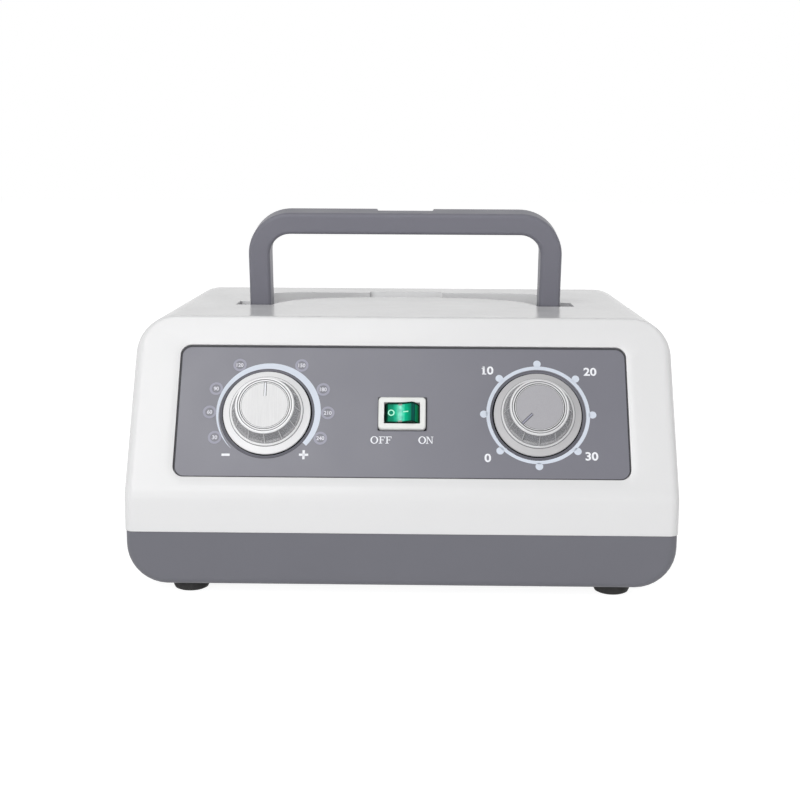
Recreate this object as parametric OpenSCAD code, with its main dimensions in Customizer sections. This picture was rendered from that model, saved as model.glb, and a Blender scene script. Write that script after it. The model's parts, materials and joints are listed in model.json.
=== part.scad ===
// Compression therapy pump: a table-top air compressor in a moulded case.
// Millimetres. Z is up, the control face looks along -Y, the table is z = 0.
// The white cover sits on a grey base. The sloped face carries two knobs and
// a rocker switch, and the carrying handle folds back into the top.

/* [Case] */
// Width of the case
body_w = 242; // [238:1:320]
// Depth of the case
body_d = 196; // [190:1:260]
// Height of the top face above the table
body_top = 119; // [119:1:150]
// Height of the seam between cover and base above the table
seam_z = 29; // [26:0.5:34]
// Height at which the upright skirt bends into the sloped face
bend_z = 45.5; // [42:0.5:50]
// Lean of the sloped face away from upright, in degrees
slope_tilt = 30; // [26:1:34]
// Wall thickness of both mouldings
wall = 2.8; // [2.4:0.1:3.4]
// Radius of the long top corners, seen from the front
top_corner_r = 17; // [12:0.5:22]
// Radius of the long bottom corners, seen from the front
base_corner_r = 18; // [12:0.5:20]
// Blend radius between the front and the sides
side_edge_r = 4.5; // [3:0.5:8]
// Blend radius between the sloped face and the top
top_edge_r = 2; // [1:0.5:4]
// Blend radius of the rear edges
rear_edge_r = 10; // [8:0.5:12]
// Step by which the base stands back from the cover
base_inset = 0.4; // [0:0.1:1]
// Height of the rubber feet below the base
foot_h = 5; // [4:0.5:8]
// Diameter of a rubber foot
foot_d = 16; // [14:0.5:18]
// Distance of the foot centres from the middle, across
foot_x = 94; // [90:1:94]
// Distance of the foot centres from the front and the rear
foot_edge = 14; // [13:0.5:20]

/* [Control panel] */
// Width of the panel plate
panel_w = 200; // [186:1:206]
// Height of the panel plate along the slope
panel_h = 61.8; // [54:0.2:63]
// Corner radius of the panel plate
panel_r = 4.7; // [3:0.1:8]
// Thickness of the panel plate
panel_t = 1.5; // [1:0.1:2]
// Depth of the panel face below the sloped face
panel_recess = 1.3; // [0.8:0.1:2]
// Width of the bevel round the panel opening
bevel_w = 4; // [2:0.5:5]
// Depth of the bevel at the opening
bevel_drop = 0.8; // [0.4:0.1:1]
// Distance of the knob row from the bend, up the slope
knob_row = 38.5; // [37:0.1:42]
// Distance of the panel's middle above the knob row
panel_rise = 1.4; // [0:0.1:3]

/* [Knobs] */
// Distance between the two knob axes
knob_spacing = 120; // [110:1:130]
// Diameter of the knob skirt
skirt_d = 38.8; // [36:0.2:42]
// Diameter of the grip where it meets the skirt
grip_d = 32.4; // [30:0.2:33]
// Diameter of the grip at the top
grip_top_d = 26; // [24:0.2:28]
// Height of the knob above the panel
knob_h = 11; // [10:0.2:16]
// Diameter of the inset disc on the knob
cap_d = 21.4; // [18:0.2:22]
// Number of finger flutes round the grip
flutes = 12; // [8:1:16]
// Gap between knob and the dish below it
knob_gap = 0.6; // [0.4:0.1:1]
// Depth of the round dish in the panel below each knob
dish_depth = 0.6; // [0.3:0.1:0.8]
// Gap between the knob skirt and the wall of its dish
dish_gap = 0.7; // [0.4:0.1:1.2]
// Width of the bevel round each dish
dish_edge = 0.8; // [0.4:0.1:1.2]
// Diameter of the control shafts
shaft_d = 6; // [5:0.1:6.4]
// Diameter of the threaded bush round the shafts
bush_d = 9; // [8.4:0.1:10]

/* [Power switch] */
// Width of the switch frame
bezel_w = 21; // [20:0.1:24]
// Height of the switch frame
bezel_h = 15; // [14:0.1:17]
// Width of the frame's border
bezel_border = 2.55; // [2:0.05:3]
// Height of the frame above the panel
bezel_t = 2; // [1.5:0.1:2.5]
// Depth of the square-cornered seat that the frame sits in
frame_seat = 0.5; // [0.3:0.1:0.8]
// Swing of the rocker, in degrees
rocker_swing = 20; // [14:1:24]

/* [Handle] */
// Outer width of the handle
handle_w = 152.6; // [140:0.2:170]
// Height of the handle above the top face, if it stood upright
handle_rise = 46.6; // [40:0.2:54]
// Lean of the raised handle towards the front, in degrees
handle_lean = 8.7; // [0:0.1:12]
// Thickness of the handle, seen from the front
handle_bar = 10.4; // [9:0.2:12]
// Depth of the handle from front to rear when upright
handle_t = 15.2; // [14:0.1:19]
// Outer corner radius of the handle
handle_r = 20.5; // [16:0.5:24]
// Distance of the handle's pivot behind the front edge of the top
pivot_back = 60.6; // [58:0.1:66]
// Diameter of the handle's pivot pins
pin_d = 6; // [5:0.1:7]
// Distance from the pivot to the rear edge of the island between the legs
island_reach = 32.5; // [26:0.5:38]
// Radius of the island's rear edge
island_arc_r = 125; // [90:5:200]
// Radius of the island's round shoulders
island_lobe_r = 42; // [30:1:50]
// Length of the shallow slots beside the handle
slot_out = 6; // [4:0.5:8]
// Depth of the shallow slots beside the handle
slot_depth = 3; // [2:0.5:4]

/* [Rear connections] */
// Outer diameter of an air outlet nozzle
nozzle_d = 6.4; // [5.4:0.1:7.7]
// Bore of an air outlet nozzle
nozzle_bore = 3.6; // [3:0.1:4.2]
// Distance between air outlet nozzles
nozzle_pitch = 16; // [14:0.5:18]
// Depth of the bay that the nozzles stand in
bay_depth = 14; // [12:0.5:16]

/* [Hidden] */

$fn = 48;

// Small shared clearances
fit_gap = 0.3;
run_gap = 0.08;
seat_gap = 0.05;
eps = 0.02;

// Planes of the case
front_y = -body_d / 2;
rear_y = body_d / 2;
base_z = foot_h;
floor_z = base_z + wall;
side_x = body_w / 2;
slope_sin = sin(slope_tilt);
slope_cos = cos(slope_tilt);
edge_y = front_y + (body_top - bend_z) * slope_sin / slope_cos;

// Number of steps in a quarter turn of the blended corners
blend_steps = 9;
blend_fn = 4 * blend_steps;

// Y of the sloped face at height z, moved inwards by an offset
function slope_y(z, off = 0) = front_y + (off + (z - bend_z) * slope_sin) / slope_cos;

// ---------------------------------------------------------------- helpers

// Ball with a point at each pole, so that blends touch their planes exactly
module ball(r) {
    rotate_extrude($fn = blend_fn)
        intersection() {
            circle(r = r, $fn = blend_fn);
            translate([0, -r])
                square([r, 2 * r]);
        }
}

// Rounded rectangle about its middle
module round_rect(w, h, r) {
    square([w - 2 * r, h], center = true);
    square([w, h - 2 * r], center = true);
    for (x = [-1, 1], y = [-1, 1])
        translate([x * (w / 2 - r), y * (h / 2 - r)])
            circle(r = r);
}

// Puts its children on the sloped face: x across, y up the slope, z outwards
module on_slope(x, up, out = 0) {
    translate([x, slope_y(bend_z), bend_z])
        rotate([90 - slope_tilt, 0, 0])
            translate([0, up, out])
                children();
}

// Puts its children on the panel face, on the knob row
module on_panel(x) {
    on_slope(x, knob_row, -panel_recess)
        children();
}

// Solid between two heights
module slab(z0, z1) {
    translate([-body_w, -body_d, z0])
        cube([2 * body_w, 2 * body_d, z1 - z0]);
}

// Cylinder along X between two places
module rod_x(x0, x1, r) {
    translate([x0, 0, 0])
        rotate([0, 90, 0])
            cylinder(r = r, h = x1 - x0);
}

// Cylinder along Y between two places
module rod_y(y0, y1, r) {
    translate([0, y0, 0])
        rotate([-90, 0, 0])
            cylinder(r = r, h = y1 - y0);
}

// ------------------------------------------------------------- case forms

// Outer form of the cover, reaching down past the seam
module cover_form() {
    bend_r = 12;
    hull()
        for (s = [-1, 1]) {
            for (i = [0 : blend_steps]) {
                a = 90 * i / blend_steps;
                r = side_edge_r + (top_edge_r - side_edge_r) * i / blend_steps;
                reach = top_corner_r - r;
                z = body_top - top_corner_r + reach * sin(a);
                x = side_x - top_corner_r + reach * cos(a);
                translate([s * x, slope_y(z, r), z])
                    ball(r);
            }
            for (i = [0 : blend_steps]) {
                a = 90 * i / blend_steps;
                reach = top_corner_r - rear_edge_r;
                z = body_top - top_corner_r + reach * sin(a);
                x = side_x - top_corner_r + reach * cos(a);
                translate([s * x, rear_y - rear_edge_r, z])
                    ball(rear_edge_r);
            }
            for (a = [0 : 10 : slope_tilt]) {
                in = bend_r - side_edge_r;
                z = bend_z - bend_r * tan(slope_tilt / 2) + in * sin(a);
                y = front_y + bend_r - in * cos(a);
                translate([s * (side_x - side_edge_r), y, z])
                    ball(side_edge_r);
            }
            translate([s * (side_x - side_edge_r), front_y + side_edge_r, side_edge_r])
                ball(side_edge_r);
            translate([s * (side_x - rear_edge_r), rear_y - rear_edge_r, rear_edge_r])
                ball(rear_edge_r);
        }
}

// Outer form of the base, reaching up past the seam
module base_form() {
    front_r = side_edge_r - base_inset;
    rear_r = rear_edge_r - base_inset;
    low_r = 3;
    half = side_x - base_inset;
    y_front = front_y + base_inset;
    y_rear = rear_y - base_inset;
    hull()
        for (s = [-1, 1]) {
            for (i = [0 : blend_steps]) {
                a = 90 * i / blend_steps;
                rf = front_r + (low_r - front_r) * i / blend_steps;
                rr = rear_r + (low_r - rear_r) * i / blend_steps;
                zf = base_z + base_corner_r - (base_corner_r - rf) * sin(a);
                zr = base_z + base_corner_r - (base_corner_r - rr) * sin(a);
                xf = half - base_corner_r + (base_corner_r - rf) * cos(a);
                xr = half - base_corner_r + (base_corner_r - rr) * cos(a);
                translate([s * xf, y_front + rf, zf])
                    ball(rf);
                translate([s * xr, y_rear - rr, zr])
                    ball(rr);
            }
            translate([s * (half - front_r), y_front + front_r, body_top])
                ball(front_r);
            translate([s * (half - rear_r), y_rear - rear_r, body_top])
                ball(rear_r);
        }
}

// Room inside the cover: front outline, side outline and plan, all inside the wall
module cover_room() {
    room_top = body_top - wall;
    room_r = top_corner_r - wall;
    rear_in = rear_edge_r;
    y_in = rear_y - wall;
    z_bend = bend_z - wall * (1 - slope_cos) / slope_sin;
    intersection() {
        translate([0, body_d, 0])
            rotate([90, 0, 0])
                linear_extrude(height = 2 * body_d) {
                    translate([-(side_x - wall), 0])
                        square([2 * (side_x - wall), room_top - room_r]);
                    translate([-(side_x - wall - room_r), 0])
                        square([2 * (side_x - wall - room_r), room_top]);
                    for (s = [-1, 1])
                        translate([s * (side_x - wall - room_r), room_top - room_r])
                            circle(r = room_r);
                }
        rotate([90, 0, 90])
            linear_extrude(height = 2 * body_w, center = true) {
                polygon([
                    [front_y + wall, 0],
                    [front_y + wall, z_bend],
                    [slope_y(room_top, wall), room_top],
                    [y_in - rear_in, room_top],
                    [y_in - rear_in, 0]
                ]);
                translate([0, 0])
                    square([y_in, room_top - rear_in]);
                translate([y_in - rear_in, room_top - rear_in])
                    circle(r = rear_in);
            }
        linear_extrude(height = body_top) {
            translate([-(side_x - wall), front_y])
                square([2 * (side_x - wall), body_d - wall - rear_in]);
            translate([-(side_x - wall - rear_in), 0])
                square([2 * (side_x - wall - rear_in), y_in]);
            for (s = [-1, 1])
                translate([s * (side_x - wall - rear_in), y_in - rear_in])
                    circle(r = rear_in);
        }
    }
}

// --------------------------------------------------------- handle and recess

pivot_y = edge_y + pivot_back;
pivot_z = body_top - handle_t / 2 - 0.5;
handle_top = body_top + handle_rise;
leg_x = handle_w / 2 - handle_bar / 2;
lean_room = handle_t / 2 / cos(handle_lean) + (body_top - pivot_z) * tan(handle_lean);
pin_gap = 0.06;
recess_gap = 0.9;
recess_floor = pivot_z - handle_t / 2 - recess_gap;
recess_x = handle_w / 2 + recess_gap;
front_reach = lean_room + recess_gap;
rear_reach = handle_top - pivot_z + recess_gap;
slot_reach = handle_t / 2 + recess_gap;
recess_rear = pivot_y + rear_reach;
boss_len = 6;
boss_wall = 3;
scoop_w = 39;
scoop_back = 7.6;
scoop_r = 22;
island_half = handle_w / 2 - handle_bar - 0.6;
pin_in = island_half - wall - boss_len;
pin_end = recess_x + wall + boss_len;

// Plan of the island between the legs about the pivot, drawn in by g:
// a long rear arc and two round shoulders
module island_plan(g = 0) {
    lobe_lift = 0.3;
    lobe_x = island_half - island_lobe_r;
    arc_y = island_reach - island_arc_r;
    reach = island_arc_r - island_lobe_r;
    lobe_y = arc_y + sqrt(reach * reach - lobe_x * lobe_x) + lobe_lift;
    split_x = lobe_x * (island_arc_r - g) / reach;
    low_y = min(lobe_y, -front_reach) - 30;
    intersection() {
        translate([0, arc_y])
            circle(r = island_arc_r - g, $fn = 160);
        translate([-split_x, lobe_y])
            square([2 * split_x, island_arc_r]);
    }
    for (s = [-1, 1])
        translate([s * lobe_x, lobe_y])
            circle(r = island_lobe_r - g, $fn = 96);
    translate([-(island_half - g), low_y])
        square([2 * (island_half - g), lobe_y - low_y]);
}

// Plan of the handle recess about the pivot, grown outwards by g
module recess_plan(g = 0) {
    corner = handle_r + recess_gap + g;
    half = recess_x + g;
    y0 = -front_reach - g;
    y1 = rear_reach + g;
    difference() {
        union() {
            translate([-half, y0])
                square([2 * half, y1 - corner - y0]);
            translate([-(half - corner), y0])
                square([2 * (half - corner), y1 - y0]);
            for (s = [-1, 1])
                translate([s * (half - corner), y1 - corner])
                    circle(r = corner);
        }
        island_plan(g);
    }
}

// Plan of the shallow slots beside the handle's legs, grown outwards by g
module slot_plan(g = 0) {
    for (s = [-1, 1])
        translate([s > 0 ? recess_x - 1 : -(recess_x + slot_out + g), -front_reach - g])
            square([slot_out + 1 + g, slot_reach + front_reach + 2 * g]);
}

// Finger scoop behind the folded handle, grown outwards by g
module scoop(g = 0) {
    intersection() {
        translate([0, recess_rear - scoop_r + scoop_back, recess_floor + 3 + scoop_r])
            rotate([0, 90, 0])
                cylinder(r = scoop_r + g, h = scoop_w + 2 * g, center = true, $fn = 64);
        translate([-scoop_w, recess_rear - 3, recess_floor])
            cube([2 * scoop_w, scoop_r, 50]);
    }
}

// One corner of the handle: a quarter turn of its section
module handle_corner(s) {
    mid_r = handle_r - handle_bar / 2;
    translate([s * (handle_w / 2 - handle_r), pivot_y, handle_top - handle_r])
        rotate([90, 0, 0])
            rotate([0, 0, s > 0 ? 0 : 90])
                rotate_extrude(angle = 90, $fn = 64)
                    translate([mid_r, 0])
                        round_rect(handle_bar, handle_t, handle_edge_r);
}

handle_edge_r = 2;

// Leans its children to the front about the handle's pivot
module leaning() {
    translate([0, pivot_y, pivot_z])
        rotate([handle_lean, 0, 0])
            translate([0, -pivot_y, -pivot_z])
                children();
}

module handle() {
    straight = handle_top - handle_r - pivot_z;
    span = handle_w - 2 * handle_r;
    notch_w = 25.2;
    notch_slant = 1.7;
    notch_h = 1.2;
    notch_t = handle_t - 4;
    color([0.49, 0.49, 0.53])
        leaning()
            difference() {
                union() {
                    for (s = [-1, 1]) {
                        translate([s * leg_x, pivot_y, pivot_z])
                            linear_extrude(height = straight)
                                round_rect(handle_bar, handle_t, handle_edge_r);
                        handle_corner(s);
                        translate([0, pivot_y, pivot_z])
                            mirror([s < 0 ? 1 : 0, 0, 0])
                                rod_x(handle_w / 2 - handle_bar, handle_w / 2, handle_t / 2);
                    }
                    translate([-span / 2, pivot_y, handle_top - handle_bar / 2])
                        rotate([90, 0, 90])
                            linear_extrude(height = span)
                                round_rect(handle_t, handle_bar, handle_edge_r);
                }
                for (s = [-1, 1])
                    translate([0, pivot_y, pivot_z])
                        mirror([s < 0 ? 1 : 0, 0, 0])
                            rod_x(handle_w / 2 - handle_bar - 1, handle_w / 2 + 1, pin_d / 2 + pin_gap);
                // finger notch on the rear upper edge of the bar
                translate([0, pivot_y + handle_t / 2 - notch_t, handle_top - notch_h])
                    linear_extrude(height = notch_h + 1)
                        polygon([
                            [-notch_w / 2, 0],
                            [notch_w / 2, 0],
                            [notch_w / 2 + notch_slant, notch_t + 1],
                            [-notch_w / 2 - notch_slant, notch_t + 1]
                        ]);
            }
}

// Steel pins that the handle turns on, headed at the outer end
module handle_pins() {
    color([0.75, 0.76, 0.78])
        for (s = [-1, 1])
            translate([0, pivot_y, pivot_z])
                mirror([s < 0 ? 1 : 0, 0, 0]) {
                    rod_x(pin_in + fit_gap, pin_end, pin_d / 2);
                    rod_x(pin_end, pin_end + 1.5, pin_d / 2 + 1.6);
                }
}

// ----------------------------------------------------------------- the cover

// Cover: moulded shell with the panel opening, handle recess and rear bay
module top_cover() {
    color([0.93, 0.93, 0.94]) {
        difference() {
            union() {
                difference() {
                    intersection() {
                        cover_form();
                        slab(seam_z, body_top + 1);
                    }
                    cover_room();
                }
                cover_inside();
            }
            panel_cut();
            recess_cut();
            rear_cut();
        }
    }
}

panel_back = 2.5;
panel_mid = knob_row + panel_rise;

// What stands on the inside of the cover's wall
module cover_inside() {
    intersection() {
        cover_form();
        union() {
            on_slope(0, panel_mid, -(panel_recess + panel_t + panel_back))
                linear_extrude(height = panel_back + 1)
                    round_rect(panel_w + 8, panel_h + 8, panel_r + 4);
            translate([0, pivot_y, recess_floor - wall])
                linear_extrude(height = body_top - 1 - recess_floor + wall)
                    recess_plan(wall);
            intersection() {
                scoop(wall);
                slab(0, body_top - 1);
            }
            translate([0, pivot_y, body_top - slot_depth - wall])
                linear_extrude(height = slot_depth + wall - 1)
                    slot_plan(wall);
            for (s = [-1, 1])
                translate([0, pivot_y, pivot_z])
                    mirror([s < 0 ? 1 : 0, 0, 0]) {
                        rod_x(recess_x, pin_end, pin_d / 2 + boss_wall);
                        rod_x(pin_in - 2, island_half, pin_d / 2 + boss_wall);
                    }
            bay_walls();
            for (s = [-1, 1], e = [-1, 1])
                cover_boss(s, e);
        }
    }
}

screw_d = 3.5;
boss_d = 10;
boss_top = seam_z + 32;

// Screw boss hanging from the front or rear wall down to the seam
module cover_boss(s, e) {
    y = e * (rear_y - foot_edge);
    difference() {
        union() {
            translate([s * foot_x, y, seam_z])
                cylinder(d = boss_d, h = boss_top - seam_z);
            translate([s * foot_x - 1.2, e > 0 ? y : front_y + 1, seam_z])
                cube([2.4, foot_edge - 1, boss_top - seam_z]);
        }
        translate([s * foot_x, y, seam_z - 1])
            cylinder(d = screw_d + 2 * seat_gap, h = 24);
    }
}

// Opening for the panel: bevel, pocket and the holes behind it
module panel_cut() {
    pocket = panel_recess + panel_t + seat_gap;
    on_slope(0, panel_mid, -bevel_drop)
        hull() {
            linear_extrude(height = eps)
                round_rect(panel_w + 2 * fit_gap, panel_h + 2 * fit_gap, panel_r + fit_gap);
            translate([0, 0, bevel_drop + eps])
                linear_extrude(height = 1)
                    round_rect(panel_w + 2 * bevel_w, panel_h + 2 * bevel_w, panel_r + bevel_w);
        }
    on_slope(0, panel_mid, -pocket)
        linear_extrude(height = pocket)
            round_rect(panel_w + 2 * fit_gap, panel_h + 2 * fit_gap, panel_r + fit_gap);
    for (s = [-1, 1])
        on_panel(s * knob_spacing / 2)
            translate([0, 0, -12])
                cylinder(d = bush_d + 2 * fit_gap, h = 14);
    on_panel(0)
        translate([0, 0, -8])
            linear_extrude(height = 10)
                square([switch_w + fit_gap, switch_h + fit_gap], center = true);
}

// Recess that the folded handle lies in, with the bores for its pins
module recess_cut() {
    translate([0, pivot_y, recess_floor])
        linear_extrude(height = body_top)
            recess_plan();
    translate([0, pivot_y, body_top - slot_depth])
        linear_extrude(height = body_top)
            slot_plan();
    scoop();
    for (s = [-1, 1])
        translate([0, pivot_y, pivot_z])
            mirror([s < 0 ? 1 : 0, 0, 0]) {
                rod_x(recess_x - 1, pin_end + 1, pin_d / 2 + seat_gap);
                rod_x(pin_in, island_half + 1, pin_d / 2 + seat_gap);
            }
}

// ------------------------------------------------------------ rear connections

bay_x = 50;
bay_z = 66;
bay_w = 3 * nozzle_pitch + 24;
bay_h = 26;
bay_r = 4;
bay_floor = rear_y - bay_depth;
inlet_x = -72;
inlet_z = 66;
inlet_w = 27.2;
inlet_h = 19.8;
fuse_x = -38;
fuse_d = 12.4;
power_bay_depth = 6;
power_bay_x0 = inlet_x - inlet_w / 2 - 6;
power_bay_x1 = fuse_x + fuse_d / 2 + 6;
power_face = rear_y - power_bay_depth;
vent_n = 9;

// Room for the bay of the inlet and the fuse, or its walls when grown by g
module power_bay(g = 0) {
    translate([(power_bay_x0 + power_bay_x1) / 2, rear_y + 1 - 2 * min(g, 1), inlet_z])
        rotate([90, 0, 0])
            linear_extrude(height = power_bay_depth + 1 + g - 2 * min(g, 1))
                round_rect(power_bay_x1 - power_bay_x0 + 2 * g, bay_h + 2 * g, bay_r + g);
}

// Walls of the two bays in the rear wall
module bay_walls() {
    power_bay(wall);
    translate([bay_x, rear_y - 1, bay_z])
        rotate([90, 0, 0])
            linear_extrude(height = bay_depth + wall - 1)
                round_rect(bay_w + 2 * wall, bay_h + 2 * wall, bay_r + wall);
}

// Openings in the rear wall
module rear_cut() {
    translate([bay_x, rear_y + 1, bay_z])
        rotate([90, 0, 0])
            linear_extrude(height = bay_depth + 1)
                round_rect(bay_w, bay_h, bay_r);
    for (i = [0 : 3])
        translate([nozzle_x(i), 0, bay_z])
            rod_y(bay_floor - wall - 1, bay_floor + 1, nozzle_d / 2 + 1 + fit_gap);
    power_bay();
    translate([inlet_x, power_face + 1, inlet_z])
        rotate([90, 0, 0])
            linear_extrude(height = wall + 6)
                square([inlet_w + fit_gap, inlet_h + fit_gap], center = true);
    translate([fuse_x, 0, inlet_z])
        rod_y(power_face - wall - 6, power_face + 1, fuse_d / 2 + fit_gap / 2);
    for (i = [0 : vent_n - 1])
        translate([(i - (vent_n - 1) / 2) * 6, rear_y - wall - 6, seam_z + 8])
            linear_extrude(height = 14)
                translate([-1.2, 0])
                    square([2.4, wall + 12]);
}

function nozzle_x(i) = bay_x + (i - 1.5) * nozzle_pitch;

block_t = 12;
block_h = 16;

// Block behind the bay, with a nozzle for each air line at both sides
module outlet_block() {
    y1 = bay_floor - wall - seat_gap;
    color([0.2, 0.2, 0.22])
        difference() {
            union() {
                translate([bay_x, y1, bay_z])
                    rotate([90, 0, 0])
                        linear_extrude(height = block_t)
                            round_rect(3 * nozzle_pitch + 16, block_h, 3);
                for (i = [0 : 3])
                    translate([nozzle_x(i), 0, bay_z]) {
                        rod_y(y1 - 1, bay_floor + 1.5, nozzle_d / 2 + 1);
                        rod_y(bay_floor, rear_y - 1.5, nozzle_d / 2);
                        rod_y(y1 - block_t - 9, y1 - block_t + 1, nozzle_d / 2);
                    }
            }
            for (i = [0 : 3])
                translate([nozzle_x(i), 0, bay_z])
                    rod_y(y1 - block_t - 10, rear_y, nozzle_bore / 2);
        }
}

socket_depth = 16;
inlet_body = 24;

// Appliance inlet: flange on the floor of its bay, and a socket
module power_inlet() {
    flange_w = inlet_w + 4;
    flange_h = inlet_h + 3.4;
    socket_w = 24;
    socket_h = 16.4;
    color([0.12, 0.12, 0.13])
        difference() {
            union() {
                translate([inlet_x, power_face + seat_gap + 1.4, inlet_z])
                    rotate([90, 0, 0])
                        linear_extrude(height = 1.4)
                            round_rect(flange_w, flange_h, 3);
                translate([inlet_x, power_face + seat_gap + 0.1, inlet_z])
                    rotate([90, 0, 0])
                        linear_extrude(height = inlet_body)
                            square([inlet_w - fit_gap, inlet_h - fit_gap], center = true);
            }
            translate([inlet_x, power_face + 3, inlet_z])
                rotate([90, 0, 0])
                    linear_extrude(height = socket_depth + 3)
                        inlet_plan(socket_w, socket_h);
            inlet_blade_set(seat_gap);
        }
}

// Blades of the inlet, through its back to a tab behind, grown by g
module inlet_blade_set(g = 0) {
    tab = 7;
    y0 = power_face - inlet_body - tab;
    for (p = [[-7, 1], [7, 1], [0, -3]])
        translate([inlet_x + p[0] - 1 - g, y0, inlet_z + p[1] - 2 - g])
            cube([2 + 2 * g, power_face - 2 - y0, 4 + 2 * g]);
}

module inlet_blades() {
    color([0.8, 0.78, 0.7])
        inlet_blade_set();
}

// Outline of the inlet's socket: two of its corners are cut off
module inlet_plan(w, h) {
    cut = 5;
    polygon([
        [-w / 2, h / 2 - cut], [-w / 2 + cut, h / 2], [w / 2 - cut, h / 2],
        [w / 2, h / 2 - cut], [w / 2, -h / 2], [-w / 2, -h / 2]
    ]);
}

module fuse_holder() {
    body_len = 30;
    color([0.12, 0.12, 0.13])
        translate([fuse_x, 0, inlet_z])
            difference() {
                union() {
                    rod_y(power_face + seat_gap, power_face + 1.6, fuse_d / 2 + 1.8);
                    rod_y(power_face - body_len, power_face + 0.1, fuse_d / 2 - fit_gap / 2);
                }
                rod_y(power_face - body_len + 3, power_face + 3, 4.2);
            }
}

module fuse_cap() {
    color([0.16, 0.16, 0.17])
        translate([fuse_x, 0, inlet_z])
            difference() {
                union() {
                    rod_y(power_face + 1.6 + seat_gap, power_face + 4.6, 5.4);
                    rod_y(power_face - 16, power_face + 1.7, 4.1);
                }
                translate([-0.7, power_face + 3.4, -4])
                    cube([1.4, 3, 8]);
            }
}

// ------------------------------------------------------------------ the base

// Base: moulded tray with screw columns, board posts, air slots and a lip
module base_shell() {
    lip_t = 1.3;
    lip_h = 3;
    color([0.47, 0.47, 0.5]) {
        difference() {
            union() {
                difference() {
                    intersection() {
                        base_form();
                        slab(0, seam_z);
                    }
                    base_room();
                }
                intersection() {
                    base_form();
                    base_inside();
                }
                difference() {
                    lip_plan_solid(wall + fit_gap, seam_z - 4, seam_z + lip_h);
                    lip_plan_solid(wall + fit_gap + lip_t, seam_z - 5, seam_z + lip_h + 1);
                    for (s = [-1, 1], e = [-1, 1])
                        translate([s * foot_x, e * (rear_y - foot_edge), seam_z])
                            cylinder(d = boss_d + 2, h = lip_h + 2);
                    for (s = [-1, 1], e = [-1, 1])
                        translate([s * foot_x - 2, e > 0 ? rear_y - foot_edge : front_y, seam_z])
                            cube([4, foot_edge, lip_h + 2]);
                }
            }
            for (s = [-1, 1], e = [-1, 1])
                translate([s * foot_x, e * (rear_y - foot_edge), 0]) {
                    cylinder(d = foot_d - 3, h = base_z + 1.5);
                    cylinder(d = screw_d + 2 * fit_gap, h = seam_z + 2);
                }
            for (i = [-4 : 3])
                translate([i * 7 - 1.2, 18, 0])
                    cube([2.4, 32, floor_z + 1]);
        }
    }
}

// Straight-walled ring stock that follows the plan of the case
module lip_plan_solid(inset, z0, z1) {
    r_front = 2;
    r_rear = rear_edge_r;
    w = 2 * (side_x - inset);
    translate([0, 0, z0])
        linear_extrude(height = z1 - z0) {
            translate([-w / 2, front_y + inset + r_front])
                square([w, body_d - 2 * inset - r_front - r_rear]);
            translate([-w / 2 + r_front, front_y + inset])
                square([w - 2 * r_front, 2 * r_front]);
            translate([-w / 2 + r_rear, 0])
                square([w - 2 * r_rear, rear_y - inset]);
            for (s = [-1, 1]) {
                translate([s * (w / 2 - r_front), front_y + inset + r_front])
                    circle(r = r_front);
                translate([s * (w / 2 - r_rear), rear_y - inset - r_rear])
                    circle(r = r_rear);
            }
        }
}

// Room inside the base, with the long bottom corners rounded as outside
module base_room() {
    half = side_x - base_inset - wall;
    r = base_corner_r - wall;
    intersection() {
        translate([0, body_d, 0])
            rotate([90, 0, 0])
                linear_extrude(height = 2 * body_d) {
                    translate([-half, floor_z + r])
                        square([2 * half, body_top]);
                    translate([-(half - r), floor_z])
                        square([2 * (half - r), body_top]);
                    for (s = [-1, 1])
                        translate([s * (half - r), floor_z + r])
                            circle(r = r);
                }
        lip_plan_solid(wall + base_inset, 0, body_top);
    }
}

// Columns and posts on the floor of the base
module base_inside() {
    for (s = [-1, 1], e = [-1, 1])
        translate([s * foot_x, e * (rear_y - foot_edge), base_z])
            cylinder(d = boss_d, h = seam_z - base_z);
    for (p = board_posts)
        translate([p[0], p[1], base_z])
            difference() {
                cylinder(d = 7, h = board_z - base_z);
                translate([0, 0, wall])
                    cylinder(d = board_screw_d + 2 * seat_gap, h = board_z);
            }
    for (a = [45 : 90 : 315])
        translate([valve_x, valve_y, base_z])
            rotate([0, 0, a])
                translate([motor_d / 2 - 2, 0, 0])
                    cylinder(d = 8, h = motor_z - base_z);
}

module rubber_feet() {
    color([0.12, 0.12, 0.12])
        for (s = [-1, 1], e = [-1, 1])
            translate([s * foot_x, e * (rear_y - foot_edge), 0])
                difference() {
                    union() {
                        rotate_extrude()
                            polygon([
                                [0, 0], [foot_d / 2 - 1.6, 0], [foot_d / 2 - 0.6, 0.5],
                                [foot_d / 2, 1.8], [foot_d / 2, base_z - seat_gap], [0, base_z - seat_gap]
                            ]);
                        cylinder(d = foot_d - 3 - 2 * fit_gap, h = base_z + 1.5 - seat_gap);
                    }
                    translate([0, 0, -1])
                        cylinder(d = 8, h = 4);
                    translate([0, 0, -1])
                        cylinder(d = screw_d + 2 * fit_gap, h = base_z + 4);
                }
}

// Screws that pass through the feet and draw the cover onto the base
module case_screws() {
    head_z = 3;
    color([0.6, 0.6, 0.63])
        for (s = [-1, 1], e = [-1, 1])
            translate([s * foot_x, e * (rear_y - foot_edge), 0])
                difference() {
                    union() {
                        translate([0, 0, head_z - 2.2])
                            cylinder(d1 = 6, d2 = 7, h = 2.2 - seat_gap);
                        translate([0, 0, head_z - 1])
                            cylinder(d = screw_d, h = seam_z + 20 - head_z);
                    }
                    for (a = [0, 90])
                        rotate([0, 0, a])
                            translate([-2, -0.45, 0])
                                cube([4, 0.9, head_z - 1.2]);
                }
}

// --------------------------------------------------------------- the controls

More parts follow.
